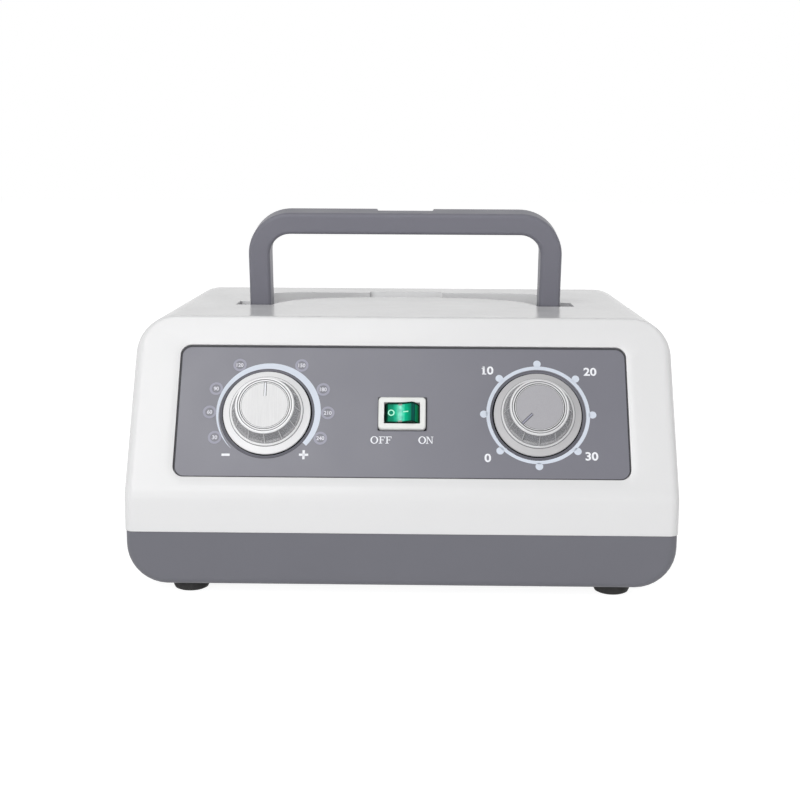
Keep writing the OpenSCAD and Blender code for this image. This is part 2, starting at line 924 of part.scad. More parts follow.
module control_panel() {
    color([0.58, 0.58, 0.62])
        difference() {
            on_slope(0, panel_mid, -panel_recess - panel_t)
                linear_extrude(height = panel_t)
                    round_rect(panel_w, panel_h, panel_r);
            for (s = [-1, 1])
                on_panel(s * knob_spacing / 2) {
                    translate([0, 0, -5])
                        cylinder(d = bush_d + 2 * fit_gap, h = 10);
                    translate([0, 0, -dish_depth])
                        cylinder(r = dish_r, h = 3, $fn = 96);
                    translate([0, 0, -dish_edge / 2])
                        cylinder(r1 = dish_r, r2 = dish_r + 2 * dish_edge, h = dish_edge, $fn = 96);
                }
            on_panel(0) {
                translate([0, 0, -5])
                    linear_extrude(height = 10)
                        square([switch_w + fit_gap, switch_h + fit_gap], center = true);
                translate([0, 0, -frame_seat])
                    linear_extrude(height = 3)
                        square([bezel_w + fit_gap, bezel_h + fit_gap], center = true);
            }
        }
}

dish_r = skirt_d / 2 + dish_gap;
skirt_low = knob_gap - dish_depth;
skirt_top = 2.9;
hub_z = 3.6;
web_t = 1.6;
rim_t = 0.5;
cap_seat = knob_h - rim_t - 0.6;
flat_cut = shaft_d / 2 - 0.6;

// Knob body: skirt, fluted grip and hub with a flatted bore
module knob_body() {
    bead_r = 0.6;
    fluted_grip();
    translate([0, 0, skirt_top])
        rotate_extrude($fn = 72)
            translate([grip_d / 2 - bead_r, 0])
                circle(r = bead_r, $fn = 20);
}

// The knob without the bead at the foot of its grip
module fluted_grip() {
    flute_r = 4.2;
    flute_in = grip_top_d / 2 + 0.4;
    hollow_r = flute_in - 2.2;
    hub_r1 = shaft_d / 2 + 2.2;
    roof = cap_seat - web_t;
    difference() {
        rotate_extrude($fn = 72)
            difference() {
                union() {
                    polygon([
                        [0, skirt_low], [skirt_d / 2 - 0.3, skirt_low],
                        [skirt_d / 2, skirt_low + 0.3], [skirt_d / 2, skirt_low + 1],
                        [skirt_d / 2 - 0.4, skirt_low + 1.4],
                        [grip_d / 2 - 0.4, skirt_top], [grip_d / 2 - 1, skirt_top],
                        [grip_top_d / 2, knob_h - 1.4], [0, knob_h - 1.4]
                    ]);
                    translate([0, knob_h - 1.5])
                        square([grip_top_d / 2 - 1.4, 1.5]);
                    translate([grip_top_d / 2 - 1.4, knob_h - 1.4])
                        circle(r = 1.4);
                }
                translate([-50, -50])
                    square([50, 100]);
                polygon([
                    [hub_r1, -1], [skirt_d / 2 - 1.4, -1], [skirt_d / 2 - 1.4, skirt_low + 0.4],
                    [grip_d / 2 - 2, skirt_top - 1.3], [hollow_r, skirt_top - 1],
                    [hollow_r, roof], [hub_r1, roof]
                ]);
                translate([-1, -1])
                    square([hub_r1 + 1.01, hub_z + 1]);
                translate([-1, cap_seat])
                    square([cap_d / 2 + 0.15 + 1, 5]);
            }
        for (i = [0 : flutes - 1])
            rotate([0, 0, (i + 0.5) * 360 / flutes])
                translate([flute_in + flute_r, 0, skirt_top - 0.15])
                    cylinder(r = flute_r, h = knob_h, $fn = 32);
        difference() {
            translate([0, 0, hub_z - 1])
                cylinder(d = shaft_d + 2 * seat_gap, h = roof - hub_z + 1);
            translate([flat_cut + seat_gap, -5, 0])
                cube([10, 10, 20]);
        }
    }
}

// Inset disc with its pointer groove; the groove points up the slope
module knob_cap() {
    groove_w = 1.2;
    groove_depth = 0.35;
    top = knob_h - 0.2;
    difference() {
        translate([0, 0, cap_seat + seat_gap])
            cylinder(d = cap_d, h = top - cap_seat - seat_gap, $fn = 72);
        translate([-groove_w / 2, cap_d / 5, top - groove_depth])
            cube([groove_w, cap_d, 2]);
    }
}

shaft_low = -(panel_t + panel_back) - 9;

// Control shaft with a flat for the knob
module control_shaft() {
    roof = cap_seat - web_t;
    difference() {
        translate([0, 0, shaft_low])
            cylinder(d = shaft_d, h = roof - 0.3 - shaft_low);
        translate([flat_cut, -5, hub_z - 0.2])
            cube([10, 10, 20]);
    }
}

// Threaded bush with a running bore, rising from a control's body
module bush(z0) {
    translate([0, 0, z0])
        cylinder(d = bush_d, h = bush_top - z0);
}

bush_top = 2.9;
body_face = -(panel_t + panel_back) - seat_gap;
time_rest = -225;

module pressure_knob() {
    color([0.9, 0.9, 0.92])
        on_panel(-knob_spacing / 2)
            knob_body();
}

module pressure_knob_cap() {
    color([0.86, 0.86, 0.88])
        on_panel(-knob_spacing / 2)
            knob_cap();
}

module pressure_shaft() {
    color([0.75, 0.75, 0.77])
        on_panel(-knob_spacing / 2)
            control_shaft();
}

module time_knob() {
    color([0.62, 0.62, 0.66])
        on_panel(knob_spacing / 2)
            rotate([0, 0, time_rest])
                knob_body();
}

module time_knob_cap() {
    color([0.6, 0.6, 0.63])
        on_panel(knob_spacing / 2)
            rotate([0, 0, time_rest])
                knob_cap();
}

module time_shaft() {
    color([0.75, 0.75, 0.77])
        on_panel(knob_spacing / 2)
            rotate([0, 0, time_rest])
                control_shaft();
}

// Rotary pressure control: round can behind the panel, with three tabs
module pressure_control() {
    can_d = 24;
    can_h = 13;
    color([0.55, 0.55, 0.5])
        on_panel(-knob_spacing / 2)
            difference() {
                union() {
                    bush(body_face - 1);
                    translate([0, 0, body_face - can_h])
                        cylinder(d = can_d, h = can_h);
                    for (x = [-5, 0, 5])
                        translate([x - 1, -can_d / 2 - 5, body_face - 4])
                            cube([2, 8, 0.8]);
                }
                translate([0, 0, shaft_low - 0.3])
                    cylinder(d = shaft_d + 2 * run_gap, h = 40);
            }
}

// Clockwork timer: square case with rounded corners and two tabs
module timer() {
    case_w = 38;
    case_h = 22;
    color([0.8, 0.8, 0.76])
        on_panel(knob_spacing / 2)
            difference() {
                union() {
                    bush(body_face - 1);
                    translate([0, 0, body_face - case_h])
                        linear_extrude(height = case_h)
                            round_rect(case_w, case_w, 5);
                    for (x = [-8, 8])
                        translate([x - 2.4, -3, body_face - case_h - 7])
                            cube([4.8, 0.8, 8]);
                }
                translate([0, 0, shaft_low - 0.3])
                    cylinder(d = shaft_d + 2 * run_gap, h = 40);
            }
}

// Washers and hexagon nuts that clamp both controls to the panel
module panel_nuts() {
    color([0.78, 0.78, 0.8])
        for (s = [-1, 1])
            on_panel(s * knob_spacing / 2)
                difference() {
                    union() {
                        translate([0, 0, seat_gap - dish_depth])
                            cylinder(r = 7.4, h = 0.6);
                        translate([0, 0, 0.5 - dish_depth])
                            cylinder(r = 6.9, h = 2, $fn = 6);
                    }
                    translate([0, 0, -1])
                        cylinder(d = bush_d + 2 * seat_gap, h = 5);
                }
}

// ----------------------------------------------------------- the power switch

switch_w = 19.2;
switch_h = 12.9;
switch_depth = 19;
rocker_room_w = bezel_w - 2 * bezel_border;
rocker_room_h = bezel_h - 2 * bezel_border;
rocker_r = rocker_room_w / 2 - 0.35;
rocker_h = rocker_room_h - 0.6;
rocker_pivot = -2.2;
rocker_valley = 4.5;
stub_r = 1.2;

// Frame and body of the rocker switch, open at the front
module switch_housing() {
    corner = 1.6;
    color([0.85, 0.86, 0.84])
        on_panel(0)
            difference() {
                union() {
                    translate([0, 0, seat_gap - frame_seat])
                        hull() {
                            linear_extrude(height = bezel_t + frame_seat - 0.5)
                                round_rect(bezel_w, bezel_h, corner);
                            linear_extrude(height = bezel_t + frame_seat - seat_gap)
                                round_rect(bezel_w - 0.8, bezel_h - 0.8, corner - 0.4);
                        }
                    translate([0, 0, -switch_depth])
                        linear_extrude(height = switch_depth + 1)
                            square([switch_w - fit_gap, switch_h - fit_gap], center = true);
                }
                translate([0, 0, rocker_pivot])
                    linear_extrude(height = 10)
                        square([rocker_room_w, rocker_room_h], center = true);
                translate([0, rocker_room_h / 2, rocker_pivot])
                    rotate([90, 0, 0])
                        cylinder(r = rocker_room_w / 2, h = rocker_room_h);
                translate([0, 6, rocker_pivot])
                    rotate([90, 0, 0])
                        cylinder(r = stub_r + run_gap, h = 12);
            }
}

// Flat brass tabs at the back of the switch
module switch_tabs() {
    color([0.8, 0.68, 0.35])
        for (x = [-6, 0, 6])
            on_panel(0)
                translate([x - 0.4, -2.4, -switch_depth - 7])
                    cube([0.8, 4.8, 7 - seat_gap]);
}

// Rocker, drawn with its left side pressed down
module power_rocker() {
    lean = rocker_swing / 2;
    color([0.2, 0.62, 0.35])
        on_panel(0)
            translate([0, 0, rocker_pivot])
                rotate([0, -lean, 0]) {
                    translate([0, rocker_h / 2, 0])
                        rotate([90, 0, 0])
                            linear_extrude(height = rocker_h)
                                intersection() {
                                    circle(r = rocker_r, $fn = 96);
                                    polygon([
                                        [-10, -2.5], [10, -2.5],
                                        [10, rocker_valley + 10 * tan(lean)], [0, rocker_valley],
                                        [-10, rocker_valley + 10 * tan(lean)]
                                    ]);
                                }
                    translate([0, 5.8, 0])
                        rotate([90, 0, 0])
                            cylinder(r = stub_r, h = 11.6);
                }
}

// --------------------------------------------------------------- the air side

comp_x = -52;
comp_y = 34;
comp_l = 74;
comp_w = 46;
comp_h = 44;
comp_z = floor_z + 8;
head_l = 13;
mount_y = comp_w / 2 + 4.4;

// Compressor body: ribbed casting with feet
module compressor() {
    rib_n = 8;
    color([0.7, 0.71, 0.73])
        difference() {
            union() {
                translate([comp_x - comp_l / 2, comp_y - comp_w / 2, comp_z])
                    cube([comp_l, comp_w, comp_h]);
                translate([comp_x - comp_l / 2 + 4, comp_y - comp_w / 2 - 8, comp_z])
                    cube([comp_l - 8, comp_w + 16, 3]);
            }
            for (i = [0 : rib_n - 1])
                translate([comp_x - comp_l / 2 + 7 + i * (comp_l - 18) / (rib_n - 1),
                    comp_y - comp_w / 2 - 1, comp_z + comp_h - 9])
                    cube([4, comp_w + 2, 10]);
            for (sx = [-1, 1], sy = [-1, 1])
                translate([comp_x + sx * (comp_l / 2 - 10), comp_y + sy * mount_y, comp_z - 1])
                    cylinder(d = 4.6, h = 6);
        }
}

// Diaphragm heads at both ends of the compressor
module compressor_heads() {
    color([0.25, 0.25, 0.27])
        for (s = [-1, 1])
            translate([comp_x + s * (comp_l / 2 + seat_gap + head_l / 2), comp_y, comp_z + comp_h / 2]) {
                rotate([0, 90, 0])
                    cylinder(d = comp_h - 4, h = head_l, center = true);
                if (s > 0)
                    rod_x(head_l / 2 - 1, head_l / 2 + 6.5, hose_bore_r);
            }
}

// Rubber mounts between the compressor and the floor
module compressor_mounts() {
    color([0.12, 0.12, 0.12])
        for (sx = [-1, 1], sy = [-1, 1])
            translate([comp_x + sx * (comp_l / 2 - 10), comp_y + sy * mount_y, floor_z]) {
                translate([0, 0, seat_gap])
                    cylinder(d = 11, h = comp_z - floor_z - 2 * seat_gap);
                cylinder(d = 4.4, h = comp_z - floor_z + 3);
                translate([0, 0, comp_z - floor_z + 3 + seat_gap])
                    cylinder(d = 8, h = 2);
            }
}

valve_x = bay_x;
valve_y = 18;
motor_d = 50;
motor_z = floor_z + 5;
motor_h = 18;
valve_z = motor_z + motor_h + seat_gap;
valve_h = bay_z - valve_z + 10;
valve_w = 3 * nozzle_pitch + 16;
valve_t = 32;
valve_r = 20;
valve_rear = valve_y + valve_r;

// Small geared motor that turns the valve
module valve_motor() {
    color([0.72, 0.72, 0.7])
        translate([valve_x, valve_y, motor_z + seat_gap])
            union() {
                cylinder(d = motor_d, h = motor_h - seat_gap);
                translate([-3, -motor_d / 2 - 5, 3])
                    cube([6, 8, 8]);
            }
}

// Valve that sends air to the four outlets in turn
module air_valve() {
    color([0.88, 0.87, 0.83])
        difference() {
            union() {
                translate([valve_x, valve_y, valve_z])
                    cylinder(r = valve_r, h = valve_h);
                translate([valve_x - valve_w / 2, valve_y - 2, bay_z - 8])
                    cube([valve_w, valve_t / 2 + 2, 16]);
                for (i = [0 : 3])
                    translate([nozzle_x(i), 0, bay_z])
                        rod_y(valve_y + valve_t / 2 - 1, valve_rear + 8, nozzle_d / 2);
                translate([0, valve_y, inlet_hose_z])
                    rod_x(valve_x - valve_r - 7, valve_x - valve_r / 2, hose_bore_r);
            }
            for (i = [0 : 3])
                translate([nozzle_x(i), 0, bay_z])
                    rod_y(valve_y, valve_rear + 9, nozzle_bore / 2);
        }
}

hose_r = 4.4;
hose_bore_r = 3;
inlet_hose_z = comp_z + comp_h / 2;

// Hoses from the valve to the outlet block
module outlet_hoses() {
    y0 = valve_rear + 0.6;
    y1 = bay_floor - wall - block_t - 0.6;
    color([0.8, 0.83, 0.84])
        for (i = [0 : 3])
            translate([nozzle_x(i), 0, bay_z])
                difference() {
                    rod_y(y0, y1, hose_r);
                    rod_y(y0 - 1, y1 + 1, nozzle_d / 2 + seat_gap);
                }
}

// Hose from the compressor to the valve: two straights joined by two bends
module air_hoses() {
    x0 = comp_x + comp_l / 2 + head_l + 0.6;
    x1 = valve_x - valve_r - 0.6;
    run_x = x1 - x0;
    shift = comp_y - valve_y;
    bend = shift / 2;
    lead = (run_x - 2 * bend) / 2;
    color([0.8, 0.83, 0.84])
        translate([x0, comp_y, inlet_hose_z]) {
            difference() {
                rod_x(0, lead, hose_r);
                rod_x(-1, lead + 1, hose_bore_r + seat_gap);
            }
            translate([lead, -bend, 0])
                rotate([0, 0, 0])
                    hose_bend(bend);
            translate([lead + 2 * bend, -bend, 0])
                rotate([0, 0, 180])
                    hose_bend(bend);
            translate([lead + 2 * bend, -2 * bend, 0])
                difference() {
                    rod_x(0, lead, hose_r);
                    rod_x(-1, lead + 1, hose_bore_r + seat_gap);
                }
        }
}

// Quarter turn of hose
module hose_bend(bend) {
    rotate_extrude(angle = 90, $fn = 48)
        translate([bend, 0])
            difference() {
                circle(r = hose_r, $fn = 32);
                circle(r = hose_bore_r + seat_gap, $fn = 32);
            }
}

// ---------------------------------------------------------- the electric side

board_w = 130;
board_d = 42;
board_t = 1.6;
board_x = -20;
board_y = front_y + 44;
board_z = floor_z + 7;
board_screw_d = 3;
board_posts = [
    for (sx = [-1, 1], sy = [-1, 1])
        [board_x + sx * (board_w / 2 - 5), board_y + sy * (board_d / 2 - 5)]
];

module circuit_board() {
    color([0.12, 0.4, 0.22])
        difference() {
            translate([board_x - board_w / 2, board_y - board_d / 2, board_z + seat_gap])
                cube([board_w, board_d, board_t]);
            for (p = board_posts)
                translate([p[0], p[1], board_z - 1])
                    cylinder(d = board_screw_d + 2 * fit_gap, h = 5);
        }
}

module board_screws() {
    color([0.78, 0.78, 0.8])
        for (p = board_posts)
            translate([p[0], p[1], board_z + board_t + 2 * seat_gap])
                union() {
                    translate([0, 0, -6])
                        cylinder(d = board_screw_d, h = 6.1);
                    cylinder(d = 5.6, h = 2);
                }
}

trans_x = board_x - 34;
core_w = 36;
core_d = 14;
core_h = 30;
core_leg = 10;
core_yoke = 5;
part_z = board_z + board_t + 2 * seat_gap;

// Transformer core: laminations with two windows
module transformer() {
    window_w = core_w / 2 - core_leg / 2 - core_yoke;
    color([0.3, 0.3, 0.32])
        difference() {
            translate([trans_x - core_w / 2, board_y - core_d / 2, part_z])
                cube([core_w, core_d, core_h]);
            for (x = [-core_leg / 2 - window_w, core_leg / 2])
                translate([trans_x + x, board_y - core_d, part_z + core_yoke])
                    cube([window_w, 2 * core_d, core_h - 2 * core_yoke]);
        }
}

// Winding round the middle leg of the core
module transformer_winding() {
    window_w = core_w / 2 - core_leg / 2 - core_yoke;
    coil_w = core_leg + 2 * window_w - 2 * fit_gap;
    coil_h = core_h - 2 * core_yoke - 2 * seat_gap;
    coil_d = core_d + 2 * window_w;
    color([0.85, 0.7, 0.3])
        translate([trans_x, board_y, part_z + core_yoke + seat_gap + coil_h / 2])
            difference() {
                cube([coil_w, coil_d, coil_h], center = true);
                cube([core_leg + 2 * seat_gap, core_d + 2 * seat_gap, coil_h + 1], center = true);
            }
}

// Capacitors and a relay on the board
module board_parts() {
    color([0.15, 0.15, 0.35])
        for (i = [0 : 2])
            translate([board_x + 2 + i * 13, board_y - 12, part_z])
                cylinder(d = 10, h = 16);
    color([0.1, 0.1, 0.1])
        translate([board_x + 42, board_y + 4, part_z])
            cube([15, 12, 14]);
}

// Terminal block with five wire entries and their screw wells
module terminal_block() {
    ways = 5;
    pitch = 7;
    color([0.2, 0.55, 0.3])
        translate([board_x - 4, board_y + 8, part_z])
            difference() {
                cube([ways * pitch + 1, 8, 11]);
                for (i = [0 : ways - 1])
                    translate([(i + 0.5) * pitch + 0.5, 4, 0]) {
                        translate([0, 0, 7])
                            cylinder(d = 4, h = 5, $fn = 24);
                        translate([-1.5, 1, 2.5])
                            cube([3, 4, 3.5]);
                    }
            }
}

// Heat sink: four fins on one web
module heat_sink() {
    fin_n = 4;
    color([0.7, 0.71, 0.73])
        translate([board_x + 40, board_y - 18, part_z])
            union() {
                for (i = [0 : fin_n - 1])
                    translate([i * 5, 0, 0])
                        cube([2, 18, 18]);
                translate([0, 8, 0])
                    cube([5 * (fin_n - 1) + 2, 3, 18]);
            }
}

// ------------------------------------------------------------------ drawing

top_cover();
base_shell();
control_panel();
pressure_knob();
pressure_knob_cap();
pressure_shaft();
pressure_control();
time_knob();
time_knob_cap();
time_shaft();
timer();
panel_nuts();
switch_housing();
switch_tabs();
power_rocker();
handle();
handle_pins();
rubber_feet();
case_screws();
compressor();
compressor_heads();
compressor_mounts();
valve_motor();
air_valve();
outlet_block();
air_hoses();
outlet_hoses();
power_inlet();
inlet_blades();
fuse_holder();
fuse_cap();
circuit_board();
board_screws();
transformer();
transformer_winding();
board_parts();
terminal_block();
heat_sink();
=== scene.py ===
"""Looks of the compression therapy pump: camera, light, materials, print and small trim.

Lengths are in millimetres in the code and turned into metres where a mesh is made.
+Z is up, the control face looks along -Y, +X is right as the user sees it.
"""

import json
import math

import bmesh
import bpy
from mathutils import Matrix, Vector


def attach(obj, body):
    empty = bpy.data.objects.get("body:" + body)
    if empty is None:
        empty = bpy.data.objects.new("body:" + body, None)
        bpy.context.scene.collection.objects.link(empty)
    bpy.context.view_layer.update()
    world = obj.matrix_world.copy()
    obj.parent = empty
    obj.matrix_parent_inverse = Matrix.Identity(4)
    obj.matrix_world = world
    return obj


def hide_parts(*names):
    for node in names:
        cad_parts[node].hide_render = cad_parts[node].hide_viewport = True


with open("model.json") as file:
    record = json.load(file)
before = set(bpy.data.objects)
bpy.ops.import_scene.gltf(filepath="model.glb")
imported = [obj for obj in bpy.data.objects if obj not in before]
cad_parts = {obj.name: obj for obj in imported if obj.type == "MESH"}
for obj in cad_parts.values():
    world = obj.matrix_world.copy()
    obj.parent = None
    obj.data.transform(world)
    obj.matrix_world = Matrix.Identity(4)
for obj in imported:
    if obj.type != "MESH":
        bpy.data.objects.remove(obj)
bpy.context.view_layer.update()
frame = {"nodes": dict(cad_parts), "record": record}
NODES = frame["nodes"]

MM = 0.001
scene = bpy.context.scene

# ----------------------------------------------------------------- the places

# The sloped face leans back by TILT; ROW is where the knob row meets the panel face.
# Heights below are above the panel face, along SLOPE_OUT.
TILT = math.radians(30)
SLOPE_UP = Vector((0, math.sin(TILT), math.cos(TILT)))
SLOPE_OUT = Vector((0, -math.cos(TILT), math.sin(TILT)))
ROW = Vector((0, -77.624, 78.192))
DIAL_X = 60
# The panel plate: width, height, corner radius and how far its middle lies above the knob row
PANEL_W, PANEL_H, PANEL_R, PANEL_RISE = 200, 61.8, 4.7, 1.4
# The shallow dish round each dial: its floor, the floor's radius and the radius of its rim
DISH_FLOOR, DISH_R, DISH_RIM = -0.6, 20.1, 20.9
# The knobs: radius of the skirt; radius, top and seat of the disc; width and depth of the pointer
# groove in the disc, and how far from the axis it starts
SKIRT_R = 19.4
CAP_R, CAP_TOP, CAP_SEAT = 10.7, 10.8, 9.9
GROOVE_W, GROOVE_DEEP, GROOVE_FROM = 1.2, 0.35, 4.28
# Where the time pointer stands at rest, in degrees clockwise from the top
TIME_REST = 225
# The switch: its seat in the panel, the height of the rocker's axis, how far the rocker leans to
# the left at rest, which is also the slope of each side of its V, and how far the V's valley is
# from the axis
SEAT_W, SEAT_H, SEAT_FLOOR = 21.3, 15.3, -0.5
ROCKER_PIVOT = -2.2
ROCKER_LEAN = math.radians(10)
ROCKER_VALLEY = 4.5


def on_panel(x, up, out=0.0):
    """Place on the panel face in metres: across, up the slope from the knob row, outwards."""
    return (Vector((x, 0, 0)) + ROW + SLOPE_UP * up + SLOPE_OUT * out) * MM


# ------------------------------------------------------------------ materials

# Sockets of Blender's Mix node when it mixes colours
MIX_FACTOR, MIX_A, MIX_B, MIX_RESULT = 0, 6, 7, 2
BEVEL_SAMPLES = 6
IOR = 1.46


class Shader:
    """One material with a Principled shader and short calls for the nodes that feed it."""

    def __init__(self, name, colour, rough, metallic=0.0, specular=0.5):
        self.mat = bpy.data.materials.new(name)
        self.mat.use_nodes = True
        self.mat.diffuse_color = (*colour, 1)
        self.tree = self.mat.node_tree
        self.tree.nodes.clear()
        out = self.add("OutputMaterial")
        self.bsdf = self.add("BsdfPrincipled")
        self.join(self.bsdf.outputs["BSDF"], out.inputs["Surface"])
        self.set("Base Color", (*colour, 1))
        self.set("Roughness", rough)
        self.set("Metallic", metallic)
        self.set("Specular IOR Level", specular)
        self.set("IOR", IOR)
        self.colour = colour
        self.rough = rough
        self.coords = self.add("TexCoord").outputs["Object"]
        self.normal = None

    def add(self, kind, **values):
        node = self.tree.nodes.new("ShaderNode" + kind)
        for key, value in values.items():
            setattr(node, key, value)
        return node

    def join(self, a, b):
        self.tree.links.new(a, b)

    def set(self, socket, value):
        self.bsdf.inputs[socket].default_value = value

    def stretched(self, scale):
        """Object coordinates stretched, for brushed and streaked surfaces."""
        node = self.add("Mapping")
        node.inputs["Scale"].default_value = scale
        self.join(self.coords, node.inputs["Vector"])
        return node.outputs["Vector"]

    def noise(self, size_mm, detail=3.0, rough=0.5, vector=None, seed=0.0):
        """Noise whose cells are about size_mm across, 0 to 1."""
        node = self.add("TexNoise", noise_dimensions="4D")
        node.inputs["Scale"].default_value = 1 / (size_mm * MM)
        node.inputs["Detail"].default_value = detail
        node.inputs["Roughness"].default_value = rough
        node.inputs["W"].default_value = seed
        self.join(vector or self.coords, node.inputs["Vector"])
        return node.outputs["Fac"]

    def cells(self, size_mm):
        """Distance from the middle of cells about size_mm across."""
        node = self.add("TexVoronoi")
        node.inputs["Scale"].default_value = 1 / (size_mm * MM)
        self.join(self.coords, node.inputs["Vector"])
        return node.outputs["Distance"]

    def along(self, direction, zero):
        """Distance along a direction from a place in millimetres."""
        node = self.add("VectorMath", operation="DOT_PRODUCT")
        node.inputs[1].default_value = direction
        self.join(self.coords, node.inputs[0])
        shift = self.add("Math", operation="SUBTRACT")
        shift.inputs[1].default_value = zero.dot(direction) * MM
        self.join(node.outputs["Value"], shift.inputs[0])
        return shift.outputs[0]

    def span(self, value, low, high, start=0.3, end=0.7):
        """Maps value from start..end to low..high."""
        node = self.add("MapRange", clamp=True)
        node.inputs["From Min"].default_value = start
        node.inputs["From Max"].default_value = end
        node.inputs["To Min"].default_value = low
        node.inputs["To Max"].default_value = high
        self.join(value, node.inputs["Value"])
        return node.outputs["Result"]

    def blend(self, factor, a, b):
        """Mixes two colours; each is a tuple or a socket."""
        node = self.add("Mix", data_type="RGBA")
        self.join(factor, node.inputs[MIX_FACTOR])
        for value, socket in ((a, node.inputs[MIX_A]), (b, node.inputs[MIX_B])):
            if isinstance(value, tuple):
                socket.default_value = (*value, 1)
            else:
                self.join(value, socket)
        return node.outputs[MIX_RESULT]

    def tinted(self, factor, strength, socket=None):
        """The base colour made darker by strength where factor is high."""
        base = socket or self.colour
        dark = tuple(c * (1 - strength) for c in self.colour)
        return self.blend(factor, base, dark)

    def paint(self, socket):
        """Takes the base colour from a socket."""
        self.join(socket, self.bsdf.inputs["Base Color"])

    def vary_rough(self, value, amount):
        """Lets the roughness follow value, by amount each way."""
        spread = self.span(value, self.rough - amount, self.rough + amount)
        self.join(spread, self.bsdf.inputs["Roughness"])

    def soften(self, radius_mm):
        """Rounds the light on sharp edges."""
        node = self.add("Bevel", samples=BEVEL_SAMPLES)
        node.inputs["Radius"].default_value = radius_mm * MM
        self.normal = node.outputs["Normal"]
        self.join(self.normal, self.bsdf.inputs["Normal"])

    def bump(self, height, depth_mm):
        """Adds relief of depth_mm on top of the relief that is there."""
        node = self.add("Bump")
        node.inputs["Strength"].default_value = 1.0
        node.inputs["Distance"].default_value = depth_mm * MM
        self.join(height, node.inputs["Height"])
        if self.normal is not None:
            self.join(self.normal, node.inputs["Normal"])
        self.normal = node.outputs["Normal"]
        self.join(self.normal, self.bsdf.inputs["Normal"])


def moulded(name, colour, rough, grain_mm=0.5, grain=0.004, peel=0.006,
            edge=0.3, cloud=0.03, specular=0.5):
    """Moulded plastic: faint colour clouds, uneven gloss, fine grain and a slow orange peel."""
    s = Shader(name, colour, rough, specular=specular)
    slow = s.noise(34, 2, seed=1.3)
    fine = s.noise(1.1, 3, seed=4.1)
    first = s.tinted(s.span(slow, 0, 1), cloud)
    s.paint(s.tinted(s.span(fine, 0, 0.35), cloud * 1.4, first))
    s.vary_rough(s.noise(17, 3, seed=2.7), 0.035)
    s.soften(edge)
    s.bump(s.noise(7, 2, seed=6.2), peel)
    s.bump(s.noise(grain_mm, 2, seed=8.8), grain)
    return s


def brushed(name, colour, rough, scale=(1, 30, 1), depth=0.006, metallic=1.0):
    """Metal or metal finish with fine parallel lines."""
    s = Shader(name, colour, rough, metallic=metallic)
    lines = s.noise(9, 4, 0.6, s.stretched(scale), 3.1)
    spots = s.noise(0.6, 2, seed=5.5)
    first = s.tinted(s.span(lines, 0, 1), 0.12)
    s.paint(s.tinted(s.span(spots, 0, 0.5), 0.1, first))
    s.vary_rough(lines, 0.08)
    s.soften(0.2)
    s.bump(lines, depth)
    return s


def grainy(name, colour, rough, metallic, depth, spots, edge=0.25):
    """Metallic finish with a fine sandy grain, as on plated or sprayed knobs."""
    s = Shader(name, colour, rough, metallic=metallic)
    fine = s.noise(0.35, 3, 0.6, seed=1.9)
    slow = s.noise(6, 2, seed=7.7)
    first = s.tinted(s.span(fine, 0, 1), spots)
    s.paint(s.tinted(s.span(slow, 0, 0.4), spots, first))
    s.vary_rough(fine, 0.06)
    if edge:
        s.soften(edge)
    s.bump(fine, depth)
    return s


def rubbery(name, colour):
    """Black rubber with dust in its pores."""
    s = Shader(name, colour, 0.72, specular=0.3)
    dust = s.noise(5, 4, 0.6, seed=2.2)
    s.paint(s.blend(s.span(dust, 0, 0.5), colour, (0.075, 0.073, 0.07)))
    s.vary_rough(s.noise(2, 2, seed=9.1), 0.08)
    s.bump(s.cells(0.9), 0.03)
    s.bump(s.noise(0.4, 2, seed=3.3), 0.01)
    return s


def cast(name, colour, rough=0.45):
    """Die-cast alloy: mottled, with a rough skin."""
    s = Shader(name, colour, rough, metallic=0.85)
    blot = s.noise(11, 4, 0.6, seed=4.4)
    s.paint(s.tinted(s.span(blot, 0, 1), 0.22))
    s.vary_rough(blot, 0.1)
    s.soften(0.4)
    s.bump(s.cells(0.7), 0.03)
    s.bump(s.noise(3, 3, seed=1.1), 0.03)
    return s


def hose_skin(name, colour):
    """Soft hose that lets some light into its wall."""
    s = Shader(name, colour, 0.38, specular=0.45)
    s.set("Subsurface Weight", 0.25)
    s.set("Subsurface Radius", (0.004, 0.004, 0.003))
    haze = s.noise(8, 3, seed=6.6)
    s.paint(s.tinted(s.span(haze, 0, 1), 0.12))
    s.vary_rough(haze, 0.06)
    s.bump(s.noise(1.2, 2, seed=2.4), 0.006)
    return s


def lacquered_board(name, colour):
    """Green lacquer over copper tracks."""
    s = Shader(name, colour, 0.32)
    tracks = s.add("TexBrick")
    tracks.inputs["Scale"].default_value = 1 / (9 * MM)
    tracks.inputs["Mortar Size"].default_value = 0.06
    tracks.inputs["Color1"].default_value = (*colour, 1)
    tracks.inputs["Color2"].default_value = (*(c * 0.8 for c in colour), 1)
    tracks.inputs["Mortar"].default_value = (0.09, 0.30, 0.12, 1)
    s.join(s.coords, tracks.inputs["Vector"])
    stains = s.span(s.noise(4, 3, seed=3.9), 0, 0.5)
    s.paint(s.blend(stains, tracks.outputs["Color"], (0.02, 0.09, 0.04)))
    s.vary_rough(s.noise(6, 2, seed=5.1), 0.06)
    s.bump(tracks.outputs["Fac"], 0.03)
    return s


